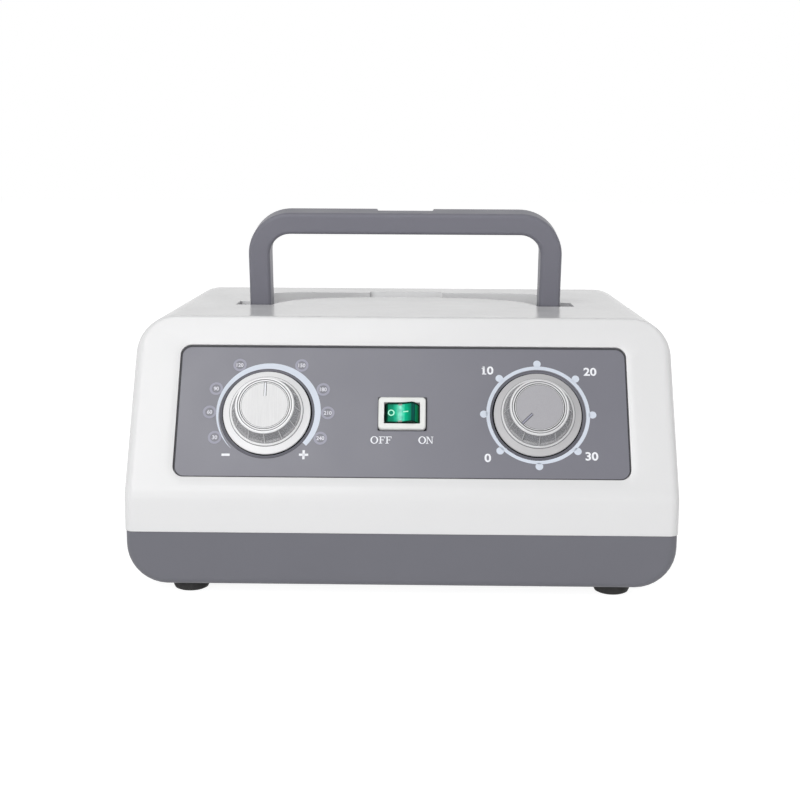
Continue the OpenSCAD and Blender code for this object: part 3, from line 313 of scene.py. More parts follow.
# Colours across the rocker, by distance from its middle, and where painted shade darkens its edges
# The colours hold painted light: a pale painted highlight in the valley, painted shade at the ridge and
# ends
ROCKER_TONE_AND_LIGHT = (
    (-8.4, (0.001, 0.012, 0.008)), (-6.5, (0.001, 0.020, 0.012)), (-6.1, (0.002, 0.240, 0.120)),
    (-4.2, (0.003, 0.300, 0.165)), (-2.6, (0.030, 0.640, 0.390)), (-1.5, (0.240, 0.880, 0.640)),
    (-0.6, (0.360, 0.960, 0.760)), (0.3, (0.130, 0.860, 0.600)), (1.4, (0.003, 0.560, 0.300)),
    (3.2, (0.001, 0.310, 0.160)), (3.9, (0.006, 0.230, 0.140)), (4.4, (0.003, 0.045, 0.040)),
    (4.9, (0.004, 0.140, 0.120)), (5.5, (0.002, 0.035, 0.045)), (5.9, (0.003, 0.330, 0.150)),
    (7.0, (0.001, 0.260, 0.080)), (7.5, (0.001, 0.060, 0.012)), (8.4, (0.001, 0.010, 0.006)),
)
ROCKER_REACH = 8.4
ROCKER_LOW_SHADE, ROCKER_HIGH_SHADE = (-4.4, -3.9), (3.6, 3.95)


def rocker_plastic(name):
    """Green see-through plastic with a painted highlight in the valley and painted shade at ridge, ends
    and edges.
    """
    s = Shader(name, (0.01, 0.34, 0.2), 0.22, specular=0.06)
    split = s.add("SeparateXYZ")
    s.join(s.coords, split.inputs[0])
    ramp = s.add("ValToRGB")
    stops = ramp.color_ramp.elements
    for x, colour in ROCKER_TONE_AND_LIGHT[1:-1]:
        stops.new((x + ROCKER_REACH) / (2 * ROCKER_REACH)).color = (*colour, 1)
    stops[0].color = (*ROCKER_TONE_AND_LIGHT[0][1], 1)
    stops[len(stops) - 1].color = (*ROCKER_TONE_AND_LIGHT[-1][1], 1)
    across = s.span(split.outputs["X"], 0, 1, -ROCKER_REACH * MM, ROCKER_REACH * MM)
    s.join(across, ramp.inputs["Fac"])
    streaks = s.noise(1.3, 3, vector=s.stretched((1, 0.6, 0.6)), seed=7.4)
    body = s.blend(s.span(streaks, 0, 0.45), ramp.outputs["Color"], (0.002, 0.10, 0.06))
    # Painted shade along the rocker's lower and upper edges, measured up the slope
    up = s.along(SLOPE_UP, ROW)
    low = s.span(up, 1, 0, ROCKER_LOW_SHADE[0] * MM, ROCKER_LOW_SHADE[1] * MM)
    high = s.span(up, 0, 1, ROCKER_HIGH_SHADE[0] * MM, ROCKER_HIGH_SHADE[1] * MM)
    body = s.blend(low, body, (0.001, 0.02, 0.012))
    s.paint(s.blend(high, body, (0.001, 0.03, 0.02)))
    s.set("Subsurface Weight", 0.15)
    s.set("Subsurface Radius", (0.0004, 0.002, 0.001))
    s.vary_rough(s.noise(3, 2, seed=1.7), 0.04)
    s.soften(0.15)
    s.bump(s.noise(0.8, 2, seed=4.9), 0.006)
    return s


def print_ink(name, colour, rough=0.42, specular=0.4):
    """Screen-printed ink: slightly uneven cover and a faint mesh."""
    s = Shader(name, colour, rough, specular=specular)
    s.paint(s.tinted(s.span(s.noise(0.5, 3, seed=2.9), 0, 0.5), 0.06))
    s.vary_rough(s.noise(1.5, 2, seed=6.1), 0.05)
    s.bump(s.noise(0.25, 2, seed=8.3), 0.002)
    return s


MATERIALS = {
    "cover_white": moulded("cover_white", (0.78, 0.78, 0.785), 0.22,
                           grain=0.0015, peel=0.003, edge=0.35, cloud=0.012),
    "base_grey": moulded("base_grey", (0.153, 0.154, 0.177), 0.45, grain=0.006, edge=0.4),
    "panel_grey": moulded("panel_grey", (0.165, 0.165, 0.196), 0.33,
                          grain_mm=0.35, grain=0.003, peel=0.001, edge=0.2, specular=0.8),
    "handle_grey": moulded("handle_grey", (0.172, 0.171, 0.202), 0.45, grain=0.006, edge=0.3),
    "switch_frame": moulded("switch_frame", (0.80, 0.81, 0.79), 0.25, edge=0.3, cloud=0.015),
    "knob_silver": grainy("knob_silver", (0.87, 0.87, 0.88), 0.42, 0.1, 0.0006, 0.015),
    "knob_cap_bright": brushed("knob_cap_bright", (0.80, 0.80, 0.805), 0.50,
                               scale=(22, 1, 1), depth=0.001, metallic=0.0),
    "knob_grey": grainy("knob_grey", (0.54, 0.535, 0.545), 0.42, 0.15, 0.0008, 0.03),
    "knob_cap_grey": grainy("knob_cap_grey", (0.392, 0.387, 0.410), 0.46, 0.3, 0.004, 0.10),
    "shaft_steel": brushed("shaft_steel", (0.62, 0.62, 0.64), 0.25),
    "plated_steel": brushed("plated_steel", (0.68, 0.68, 0.70), 0.30, scale=(6, 6, 1)),
    "control_can": brushed("control_can", (0.50, 0.49, 0.45), 0.36),
    "timer_case": moulded("timer_case", (0.70, 0.70, 0.64), 0.45),
    "brass_tabs": brushed("brass_tabs", (0.72, 0.56, 0.28), 0.30),
    "rocker_green": rocker_plastic("rocker_green"),
    "black_rubber": rubbery("black_rubber", (0.030, 0.030, 0.031)),
    "cast_alloy": cast("cast_alloy", (0.58, 0.59, 0.61)),
    "dark_plastic": moulded("dark_plastic", (0.040, 0.040, 0.044), 0.40),
    "cream_plastic": moulded("cream_plastic", (0.74, 0.72, 0.65), 0.42),
    "clear_hose": hose_skin("clear_hose", (0.66, 0.69, 0.70)),
    "inlet_black": moulded("inlet_black", (0.026, 0.026, 0.028), 0.30),
    "board_green": lacquered_board("board_green", (0.03, 0.16, 0.07)),
    "core_steel": cast("core_steel", (0.16, 0.16, 0.17), 0.5),
    "board_parts_mixed": moulded("board_parts_mixed", (0.07, 0.07, 0.13), 0.35),
    "winding_tape": moulded("winding_tape", (0.62, 0.42, 0.07), 0.32, grain_mm=1.5, grain=0.02),
    "terminal_green": moulded("terminal_green", (0.05, 0.26, 0.09), 0.40),
}

for entry in frame["record"]["subparts"]:
    node = NODES[entry["node"]]
    node.data.materials.clear()
    node.data.materials.append(MATERIALS[entry["material_slot"]].mat)

# Edges steeper than this stay sharp; the others are between two facets of a rounding
SHARP_ANGLE = math.radians(21)
# Corners nearer than this are joined for the light
WELD_MM = 0.001
# Above 50, large faces count for more than their area in the light at a corner
LARGE_FACE_WEIGHT = 90


def soft_facets(nodes):
    """Lets the light run smoothly over the shallow facets of a CAD mesh; its shape stays."""
    group = bpy.data.node_groups.new("soft_facets", "GeometryNodeTree")
    group.interface.new_socket("Geometry", in_out="INPUT", socket_type="NodeSocketGeometry")
    group.interface.new_socket("Geometry", in_out="OUTPUT", socket_type="NodeSocketGeometry")
    kinds = ("NodeGroupInput", "GeometryNodeMergeByDistance", "GeometryNodeSetMeshNormal",
             "NodeGroupOutput")
    chain = [group.nodes.new(kind) for kind in kinds]
    weld, normals = chain[1:3]
    weld.inputs["Distance"].default_value = WELD_MM * MM
    normals.mode = "SHARPNESS"
    normals.inputs["Remove Custom"].default_value = True
    normals.inputs["Face Sharpness"].default_value = False
    steps = group.nodes.new("GeometryNodeInputMeshEdgeAngle")
    steep = group.nodes.new("FunctionNodeCompare")
    steep.data_type = "FLOAT"
    steep.operation = "GREATER_THAN"
    steep.inputs[1].default_value = SHARP_ANGLE
    group.links.new(steps.outputs["Unsigned Angle"], steep.inputs[0])
    group.links.new(steep.outputs["Result"], normals.inputs["Edge Sharpness"])
    for a, b in zip(chain, chain[1:]):
        group.links.new(a.outputs[0], b.inputs[0])
    for node in nodes:
        NODES[node].modifiers.new("soft_facets", "NODES").node_group = group
        even = NODES[node].modifiers.new("even_light", "WEIGHTED_NORMAL")
        even.keep_sharp = True
        even.weight = LARGE_FACE_WEIGHT


soft_facets(("top_cover", "base_shell", "handle"))


TRIM_GRAIN = 0.0004


def knob_trim(name, colour, rough, metallic, spots):
    """Finish of a narrow band on a knob, with an almost flat grain and edges left as they are."""
    return grainy(name, colour, rough, metallic, TRIM_GRAIN, spots, edge=0)


SILVER_EDGE = knob_trim("silver_edge", (0.84, 0.84, 0.85), 0.40, 0.25, 0.01)
GREY_EDGE = knob_trim("grey_edge", (0.68, 0.68, 0.69), 0.36, 0.35, 0.01)
SILVER_GRIP = knob_trim("silver_grip", (0.38, 0.38, 0.39), 0.26, 0.5, 0.03)
GREY_GRIP = knob_trim("grey_grip", (0.35, 0.35, 0.36), 0.26, 0.5, 0.03)
# Dark finish for painted shade in the knobs' creases and round each cap
KNOB_SHADE = knob_trim("knob_shade", (0.20, 0.20, 0.21), 0.45, 0.3, 0.03)

INK_PALE = print_ink("ink_pale", (0.68, 0.73, 0.82))
INK_WHITE = print_ink("ink_white", (0.90, 0.91, 0.95))
INK_FAINT = print_ink("ink_faint", (0.34, 0.34, 0.41))
INK_SOFT = print_ink("ink_soft", (0.72, 0.72, 0.78))
INK_MARK = print_ink("ink_mark", (0.45, 0.97, 0.74))
# Dark and near-black paints, laid like ink, for painted shade and painted shadow
INK_SHADE = print_ink("ink_shade", (0.045, 0.045, 0.052), 0.5)
INK_DEEP_SHADE = print_ink("ink_deep_shade", (0.004, 0.004, 0.005), 0.7, 0.03)

# ------------------------------------------------------------------------ knobs

# Columns of the mesh from one rib to the next, as parts of the way between them
RIBS = 12
RIB_COLUMNS = (0, 0.012, 0.024, 0.04, 0.06, 0.085, 0.12, 0.2, 0.32, 0.5,
               0.68, 0.8, 0.88, 0.915, 0.94, 0.96, 0.976, 0.988)
# Rib crests take the edge finish, a painted highlight along each crest
# A face is bright when its two columns average less than this, or more than 1 less this. The
# face from the last column to the next rib's first averages 0.494 and keeps the grip's finish.
RIB_TOP = 0.026
# The hollows between the ribs: how far up the grip, and how deep in millimetres
HOLLOW_DEPTHS = ((0.02, 0), (0.045, 0.35), (0.08, 0.62), (0.14, 0.74), (0.25, 0.76), (0.4, 0.72),
                 (0.55, 0.66), (0.7, 0.6), (0.82, 0.52), (0.9, 0.42), (0.95, 0.25), (0.98, 0))
# The four finishes of a knob, by their place in its list of materials; the last is painted shade in its
# creases
SKIRT, GRIP, EDGE, CREASE_SHADE = 0, 1, 2, 3
SHARP_KNOB_ANGLE = math.radians(38)


def arc(cx, cz, r, start, end, steps):
    """Points on a circle in the knob's half section."""
    turn = [math.radians(start + (end - start) * i / steps) for i in range(steps + 1)]
    return [(cx + r * math.cos(a), cz + r * math.sin(a)) for a in turn]


def knob_rows():
    """The knob's half section from the roof of its bore round to the cap's seat.

    Each row is radius, height, how deep the hollows between the ribs are there, and finish.
    """
    hub_r, hub_low, bore_r, roof = 5.2, 3.6, 3.05, 8.3
    inner_r, inner_low, under_r, seat_r = 11.2, 1.9, 18.0, 11.02
    hollow = [(0, roof), (bore_r, roof), (bore_r, hub_low), (hub_r, hub_low), (hub_r, roof),
              (inner_r, roof), (inner_r, inner_low), (14.2, 1.6), (under_r, 0.4), (under_r, 0)]
    round_r = 18.95
    skirt = [(19.1, 0), (19.32, 0.08), (SKIRT_R, 0.3)]
    skirt += arc(round_r, 0.95, SKIRT_R - round_r, 0, 65, 5) + [(18.0, 1.87), (17.0, 2.34), (16.46, 2.6)]
    bead = arc(15.6, 2.9, 0.6, -22, 145, 12)
    foot_r, foot, top_r, top = 15.09, 3.26, 13.0, 9.6
    grip = [(foot_r + (top_r - foot_r) * t, foot + (top - foot) * t, deep) for t, deep in HOLLOW_DEPTHS]
    rim = [(12.84, 9.7)] + arc(12.35, 10.25, 0.7, -30, 125, 12)
    rim += [(11.84, 10.74), (11.72, 10.74)] + arc(11.38, 10.62, 0.36, 30, 180, 8)
    seat = [(seat_r, 10.4), (seat_r, CAP_SEAT), (0, CAP_SEAT)]
    rows = [(r, z, 0, SKIRT) for r, z in hollow + skirt]
    # The bead's first and last rows carry painted shade where it meets the skirt and the grip
    rows += [(r, z, 0, CREASE_SHADE if i in (0, len(bead) - 1) else EDGE) for i, (r, z) in enumerate(bead)]
    rows += [(r, z, deep, GRIP) for r, z, deep in grip]
    rows += [(r, z, 0, rim_finish(i, r, z)) for i, (r, z) in enumerate(rim)]
    rows += [(r, z, 0, CREASE_SHADE) for r, z in seat]
    return rows


def rim_finish(i, r, z):
    """Finish of row i of the rim: painted shade under it, half way up its side and between its beads."""
    under = i < 2
    side = 10 < z < 10.3 and r > 12
    between = 11.7 < r < 12
    return CREASE_SHADE if under or side or between else EDGE


def rib_hollow(across, height):
    """0 on a rib, 1 between two ribs; the ribs are thicker at their foot."""
    flat, slope, foot_low, foot_reach, belly = 0.012, 0.075, 3.3, 3, 0.14
    near = min(across, 1 - across)
    foot = 1 + 0.7 * max(0, 1 - (height - foot_low) / foot_reach)
    rise = min(1, max(0, (near - flat * foot) / (slope * foot)))
    return rise * rise * (3 - 2 * rise) * (1 - belly + belly * math.sin(math.pi * across))


def knob(name, cx, body, node, slot, grip_finish, edge_finish):
    """Knob with a cone-shaped ribbed grip on a skirt, in place of the plain one."""
    bm = bmesh.new()
    columns = [(k + across, across) for k in range(RIBS) for across in RIB_COLUMNS]
    rings = []
    for r, z, deep, finish in knob_rows():
        if r == 0:
            ring = [bm.verts.new(on_panel(cx, 0, z))]
        else:
            ring = []
            for place, across in columns:
                a = 2 * math.pi * place / RIBS
                out = r - deep * rib_hollow(across, z)
                ring.append(bm.verts.new(on_panel(cx + out * math.sin(a), out * math.cos(a), z)))
        rings.append((ring, finish))
    count = len(columns)
    for (lower, _), (upper, finish) in zip(rings, rings[1:]):
        for i in range(count):
            j = (i + 1) % count
            corners = [lower[i % len(lower)], lower[j % len(lower)]]
            corners += [upper[j % len(upper)], upper[i % len(upper)]]
            face = bm.faces.new(list(dict.fromkeys(corners)))
            middle = (columns[i][1] + columns[j][1]) / 2
            # A face on a rib's crest gets the edge finish: painted highlight
            on_rib = finish == GRIP and not RIB_TOP < middle < 1 - RIB_TOP
            face.material_index = EDGE if on_rib else finish
            face.smooth = True
    bmesh.ops.recalc_face_normals(bm, faces=bm.faces)
    mesh = bpy.data.meshes.new(name)
    bm.to_mesh(mesh)
    bm.free()
    mesh.set_sharp_from_angle(angle=SHARP_KNOB_ANGLE)
    for shader in (MATERIALS[slot], grip_finish, edge_finish, KNOB_SHADE):
        mesh.materials.append(shader.mat)
    o = bpy.data.objects.new(name, mesh)
    scene.collection.objects.link(o)
    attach(o, body)
    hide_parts(node)


knob("pressure_knob_ribbed", -DIAL_X, "pressure_dial", "pressure_knob", "knob_silver",
     SILVER_GRIP, SILVER_EDGE)
knob("time_knob_ribbed", DIAL_X, "time_dial", "time_knob", "knob_grey", GREY_GRIP, GREY_EDGE)

# ----------------------------------------------------------------- print on faces

# How far print, painted shade and dark marks on a face, and print and painted shade in a groove lie
# above what they are on
INK_LIFT, LINE_LIFT, GROOVE_LIFT = 0.05, 0.02, 0.03
CORNER_STEPS = 10


def full_turn(steps):
    """Angles once round, evenly spaced."""
    return [2 * math.pi * i / steps for i in range(steps)]


def ellipse(cx, cy, rx, ry, angles):
    """Points at the given angles, which count clockwise from the top."""
    return [(cx + rx * math.sin(a), cy + ry * math.cos(a)) for a in angles]


def rounded(cx, cy, w, h, r, steps=CORNER_STEPS):
    """Outline of a rounded rectangle, as a closed row of points."""
    points = []
    for sx, sy, a0 in ((1, 1, 0), (-1, 1, 90), (-1, -1, 180), (1, -1, 270)):
        for k in range(steps + 1):
            a = math.radians(a0 + 90 * k / steps)
            x = cx + sx * (w / 2 - r) + r * math.cos(a)
            points.append((x, cy + sy * (h / 2 - r) + r * math.sin(a)))
    return points


class Flat:
    """Flat shapes in two dimensions, gathered and then laid on a face as one mesh."""

    def __init__(self):
        self.points = []
        self.faces = []

    def face(self, points):
        """One face with the given outline."""
        start = len(self.points)
        self.points += [tuple(p) for p in points]
        self.faces.append(list(range(start, start + len(points))))
        return self

    def strip(self, inner, outer, closed=False):
        """Band between two rows of points."""
        start = len(self.points)
        n = len(inner)
        self.points += [tuple(p) for p in inner] + [tuple(p) for p in outer]
        for i in range(n if closed else n - 1):
            j = (i + 1) % n
            self.faces.append([start + i, start + j, start + n + j, start + n + i])
        return self

    def ring(self, cx, cy, r0, r1, steps=96):
        """Round band between two radii."""
        turn = full_turn(steps)
        return self.strip(ellipse(cx, cy, r0, r0, turn), ellipse(cx, cy, r1, r1, turn), True)

    def disc(self, cx, cy, r):
        """Round dot."""
        return self.face(ellipse(cx, cy, r, r, full_turn(32)))

    def bar(self, cx, cy, w, h, turn=0.0, bulge=0.0):
        """Rectangle, turned by an angle; bulge is the radius of its corners, small if not given."""
        points = rounded(0, 0, w, h, bulge or min(w, h) * 0.12, 4)
        c, s = math.cos(turn), math.sin(turn)
        return self.face([(cx + x * c - y * s, cy + x * s + y * c) for x, y in points])

    def frame(self, outer, inner):
        """Band between two rounded rectangles, each given as (cx, cy, width, height, radius)."""
        return self.strip(rounded(*inner), rounded(*outer), True)

    def text(self, body, cx, cy, height, bold, squeeze):
        """A number in Blender's own font, centred, with its height and sideways squeeze given."""
        curve = bpy.data.curves.new("text", "FONT")
        curve.body = body
        curve.resolution_u = 4
        curve.offset = bold
        tmp = bpy.data.objects.new("text", curve)
        scene.collection.objects.link(tmp)
        bpy.context.view_layer.update()
        graph = bpy.context.evaluated_depsgraph_get()
        mesh = bpy.data.meshes.new_from_object(tmp.evaluated_get(graph))
        xs = [v.co.x for v in mesh.vertices]
        ys = [v.co.y for v in mesh.vertices]
        k = height / (max(ys) - min(ys))
        mx, my = (max(xs) + min(xs)) / 2, (max(ys) + min(ys)) / 2
        start = len(self.points)
        for v in mesh.vertices:
            self.points.append((cx + (v.co.x - mx) * k * squeeze, cy + (v.co.y - my) * k))
        self.faces += [[start + i for i in p.vertices] for p in mesh.polygons]
        bpy.data.objects.remove(tmp)
        bpy.data.curves.remove(curve)
        bpy.data.meshes.remove(mesh)
        return self

    def lay(self, name, place, shader, body, slot):
        """Makes the mesh: place turns each point into metres; body is what it rides on."""
        mesh = bpy.data.meshes.new(name)
        mesh.from_pydata([place(x, y) for x, y in self.points], [], self.faces)
        mesh.update()
        mesh.materials.append(shader.mat)
        o = bpy.data.objects.new(name, mesh)
        scene.collection.objects.link(o)
        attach(o, body)


def on_dial(cx, lift=INK_LIFT):
    """Places on the panel face about a middle at cx on the knob row, just clear of the face."""
    return lambda x, y: on_panel(cx + x, y, lift)


# Width of the pressure scale at each angle, clockwise from the top
ARC_WIDTHS = ((-137, 0.05), (-120, 0.55), (-90, 1.15), (-45, 2.1),
              (0, 2.9), (45, 3.5), (90, 3.9), (132, 4.0))


def tapered_arc():
    """Pressure scale: an arc that grows from a point at lower left to a square end at lower right."""
    outer_r, shift, rise, inmost = 23.3, 0.6, 0.5, DISH_RIM + 0.28
    steps, last = 12, ARC_WIDTHS[-1][0]
    inner, outer = [], []
    for (a0, w0), (a1, w1) in zip(ARC_WIDTHS, ARC_WIDTHS[1:]):
        for i in range(steps + (a1 == last)):
            t = i / steps
            a = math.radians(a0 + (a1 - a0) * t)
            x, y = math.sin(a), math.cos(a)
            r = outer_r - (w0 + (w1 - w0) * t)
            along, across = shift * x + rise * y, shift * y - rise * x
            r = max(r, math.sqrt(inmost * inmost - across * across) - along)
            inner.append((shift + r * x, rise + r * y))
            outer.append((shift + outer_r * x, rise + outer_r * y))
    return Flat().strip(inner, outer)


tapered_arc().lay("pressure_arc", on_dial(-DIAL_X), INK_PALE, "case", "panel_grey")

# Pressure numbers in small rings: the angle of each, clockwise from the top, the middle and
# radius of the circle they stand on, and the two radii of a ring
BADGES = ((-117.4, "30"), (-90.5, "60"), (-65.6, "90"), (-32, "120"),
          (32, "150"), (65.6, "180"), (90.5, "210"), (117.4, "240"))
BADGE_X, BADGE_Y, BADGE_R = 0.7, 0.62, 26.3
BADGE_IN, BADGE_OUT = 2.0, 3.0
badges = Flat()
numbers = Flat()
for degrees, body in BADGES:
    a = math.radians(degrees)
    x, y = BADGE_X + BADGE_R * math.sin(a), BADGE_Y + BADGE_R * math.cos(a)
    badges.ring(x, y, BADGE_IN, BADGE_OUT, 40)
    numbers.text(body, x, y, height=1.9, bold=0.03, squeeze=0.95)
badges.lay("pressure_badges", on_dial(-DIAL_X), INK_FAINT, "case", "panel_grey")
numbers.lay("pressure_numbers", on_dial(-DIAL_X), INK_SOFT, "case", "panel_grey")

# Minus at lower left, plus at lower right
signs = Flat()
signs.bar(-17.35, -19.5, 3.6, 1.1)
signs.bar(16.95, -19.2, 4.1, 1.05).bar(16.95, -19.2, 1.05, 4.2)
signs.lay("pressure_signs", on_dial(-DIAL_X), INK_WHITE, "case", "panel_grey")

# Time scale: a ring with a dot at every eighth of a turn. RING and DOTS give the middle and the
# radii of the ring and of the circle of dots; DOT_R is the radius of one dot.
RING_X, RING_Y, RING_IN, RING_OUT = 0.25, 0.3, DISH_RIM + 0.42, 22.95
DOTS, DOT_R, DOTS_X, DOTS_Y, DOTS_R = 8, 1.68, 0.28, 0.36, 24.05
time_scale = Flat().ring(RING_X, RING_Y, RING_IN, RING_OUT)
for i in range(DOTS):
    a = math.radians(360 / DOTS * i)
    time_scale.disc(DOTS_X + DOTS_R * math.sin(a), DOTS_Y + DOTS_R * math.cos(a), DOT_R)
time_scale.lay("time_scale", on_dial(DIAL_X), INK_PALE, "case", "panel_grey")

# Time numbers and where the middle of each stands from the dial's axis
TIME_NUMBERS = (("10", -21.7, 21.15), ("20", 23.9, 20.85), ("30", 23.35, -18.85), ("0", -22.2, -19.95))
time_numbers = Flat()
for body, x, y in TIME_NUMBERS:
    time_numbers.text(body, x, y, height=3.95, bold=0.028, squeeze=1.12)
# Foot and flag of the 1 in 10
time_numbers.bar(-23.45, 19.42, 1.9, 0.5).bar(-24.0, 22.3, 1.15, 0.5, math.radians(35))
time_numbers.lay("time_numbers", on_dial(DIAL_X), INK_WHITE, "case", "panel_grey")

# A thin ring of painted shade along the rim of each dish
for name, cx in (("pressure_dish_rim_shade", -DIAL_X), ("time_dish_rim_shade", DIAL_X)):
    Flat().ring(0, 0, DISH_RIM, DISH_RIM + 0.2).lay(name, on_dial(cx), INK_SHADE, "case", "panel_grey")


def pointer(dial, cx, degrees, side, fill, rim):
    """Lays a line in the cap's groove with painted shade at its edges, a painted shade ring and a
    rim-coloured ring on the cap, and painted shadow round it.

    The line has one wide and one thin edge; side -1 changes them over.
    """
    c, s = math.cos(math.radians(degrees)), math.sin(math.radians(degrees))

    def at(out):
        return lambda x, y: on_panel(cx + side * x * c + y * s, y * c - side * x * s, out)

    def lay(shape, part, out, ink):
        shape.lay(dial + part, at(out), ink, dial + "_dial", "knob_silver")

    groove_floor = CAP_TOP - GROOVE_DEEP + GROOVE_LIFT
    middle, length = (GROOVE_FROM + CAP_R) / 2, CAP_R - GROOVE_FROM - 0.1
    thin, wide, clear = 0.16, 0.32, 0.01
    fill_bar = Flat().bar((thin - wide) / 2, middle, GROOVE_W - thin - wide, length)
    lay(fill_bar, "_pointer_fill", groove_floor, fill)
    edge_shade = Flat().bar((GROOVE_W - wide) / 2 - clear, middle, wide, length)
    edge_shade.bar((thin - GROOVE_W) / 2 + clear, middle, thin, length)
    lay(edge_shade, "_pointer_edge_shade", groove_floor, INK_SHADE)
    lay(Flat().ring(0, 0, CAP_R + 0.02, CAP_R + 0.3), "_cap_gap_shade", CAP_SEAT + GROOVE_LIFT, INK_DEEP_SHADE)
    # The circles on the cap leave the groove's open end free, by this many degrees to each side
    free, steps = 4, 120
    turn = [math.radians(free + (360 - 2 * free) * i / steps) for i in range(steps + 1)]
    radii = (CAP_R - 0.52, CAP_R - 0.26, CAP_R - 0.02)
    inner, between, outer = [ellipse(0, 0, r, r, turn) for r in radii]
    # A ring of painted shade inside the cap's edge, then a ring of the rim's finish
    lay(Flat().strip(inner, between), "_cap_shade_line", CAP_TOP + LINE_LIFT, KNOB_SHADE)
    lay(Flat().strip(between, outer), "_cap_edge", CAP_TOP + LINE_LIFT, rim)


pointer("pressure", -DIAL_X, 0, 1, INK_WHITE, SILVER_EDGE)
pointer("time", DIAL_X, TIME_REST, -1, INK_FAINT, GREY_EDGE)


def dish_shadow(name, cx):
    """Ring of painted shadow under the edge of a knob's skirt, on the floor of the dish and up its side.
    """
    def on_dish(x, y):
        climb = max(0, math.hypot(x, y) - DISH_R) * -DISH_FLOOR / (DISH_RIM - DISH_R)
        return on_panel(cx + x, y, DISH_FLOOR + LINE_LIFT + climb)

    turn = full_turn(120)
    inner_r, outer_r, rise = SKIRT_R - 1, SKIRT_R + 0.55, 0.35
    inner, outer = ellipse(0, 0, inner_r, inner_r, turn), ellipse(0, rise, outer_r, outer_r, turn)
    Flat().strip(inner, outer, True).lay(name, on_dish, INK_DEEP_SHADE, "case", "panel_grey")


# Painted shade in the gaps: round the skirts in their dishes, in the seat of the switch and round its
# frame, and at the edge of the panel plate
dish_shadow("pressure_dish_shadow", -DIAL_X)
dish_shadow("time_dish_shadow", DIAL_X)
SHADE_GAPS = (
    ("switch_seat_shadow", SEAT_FLOOR + LINE_LIFT, INK_DEEP_SHADE,
     (0, 0, SEAT_W - 0.04, SEAT_H - 0.04, 0.05), (0, 0, SEAT_W - 2, SEAT_H - 2, 0.05)),
    # Off-centre outlines make the painted shade round the switch and the panel wider on some sides
    ("switch_edge_shade", INK_LIFT, INK_SHADE,
     (0.16, 0.16, SEAT_W + 0.6, SEAT_H + 0.5, 0.5), (0, 0, SEAT_W + 0.02, SEAT_H + 0.02, 0.05)),
    ("panel_edge_shade", INK_LIFT, INK_SHADE,
     (0, PANEL_RISE, PANEL_W - 0.02, PANEL_H - 0.02, PANEL_R),
     (0.1, PANEL_RISE - 0.3, PANEL_W - 1.1, PANEL_H - 1.1, PANEL_R - 0.5)),
)
for name, lift, ink, outer, inner in SHADE_GAPS:
    Flat().frame(outer, inner).lay(name, on_dial(0, lift), ink, "case", "panel_grey")


# Radius of the corners of a letter's strokes
STROKE_R = 0.02


def serif_o(flat, cx, cy, w, h, thick, thin):
    """Capital O: thick at its sides, thin at top and bottom."""
    turn = full_turn(40)
    inner = ellipse(cx, cy, w / 2 - thick, h / 2 - thin, turn)
    flat.strip(inner, ellipse(cx, cy, w / 2, h / 2, turn), True)


def serif_f(flat, cx, cy, w, h, stem, thin):
    """Capital F with serifs."""
    x0, y0, y1 = cx - w / 2, cy - h / 2, cy + h / 2
    left = x0 + w * 0.16
    flat.bar(left + stem / 2, cy, stem, h, bulge=STROKE_R)
    flat.bar(left + stem / 2, y0 + thin / 2, stem + w * 0.36, thin, bulge=STROKE_R)
    flat.bar(x0 + w / 2, y1 - thin / 2, w, thin, bulge=STROKE_R)
    end, low, high = x0 + w, y1 - h * 0.27, y1 - thin / 2
    flat.face([(end - thin, high), (end, high), (end, low), (end - thin * 0.7, low)])
    flat.bar(left + w * 0.32, cy + h * 0.02, w * 0.5, thin, bulge=STROKE_R)
    flat.bar(left + w * 0.56, cy + h * 0.02, thin * 0.8, h * 0.26, bulge=STROKE_R)


def serif_n(flat, cx, cy, w, h, stem, thin):
    """Capital N: two thin stems and a heavy diagonal."""
    x0, x1, y0, y1 = cx - w / 2, cx + w / 2, cy - h / 2, cy + h / 2
    for x in (x0 + w * 0.16, x1 - w * 0.16):
        flat.bar(x, cy, thin, h, bulge=STROKE_R)
    flat.bar(x0 + w * 0.16, y0 + thin / 2, w * 0.34, thin, bulge=STROKE_R)
    flat.bar(x0 + w * 0.1, y1 - thin / 2, w * 0.22, thin, bulge=STROKE_R)
    flat.bar(x1 - w * 0.16, y1 - thin / 2, w * 0.34, thin, bulge=STROKE_R)
    start, end = x0 + w * 0.05, x1 - w * 0.1
    flat.face([(start, y1), (start + stem * 1.2, y1), (end, y0), (end - stem * 0.5, y0)])


# OFF and ON: letter, middle, width, height, thick stroke and thin stroke
SWITCH_LETTERS = (
    (serif_o, -12.1, -12.1, 3.4, 3.5, 0.66, 0.32),
    (serif_f, -8.75, -12.1, 2.65, 3.35, 0.60, 0.32),
    (serif_f, -5.85, -12.1, 2.65, 3.35, 0.60, 0.32),
    (serif_o, 9.0, -12.0, 3.4, 3.5, 0.66, 0.32),
    (serif_n, 12.3, -12.0, 3.2, 3.35, 0.66, 0.30),
)
switch_words = Flat()
for letter, *sizes in SWITCH_LETTERS:
    letter(switch_words, *sizes)
switch_words.lay("switch_words", on_dial(0), INK_WHITE, "case", "panel_grey")

# ------------------------------------------------------------- marks on the rocker


def on_rocker(side, lift):
    """Places on one of the rocker's two facets at rest: side -1 is the left one, +1 the right one."""
    lean = ROCKER_LEAN * (1 + side)

    def place(x, y):
        px = -ROCKER_VALLEY * math.sin(ROCKER_LEAN) + x * math.cos(lean) - lift * math.sin(lean)
        pz = ROCKER_VALLEY * math.cos(ROCKER_LEAN) + x * math.sin(lean) + lift * math.cos(lean)
        return on_panel(px, y, ROCKER_PIVOT + pz)

    return place


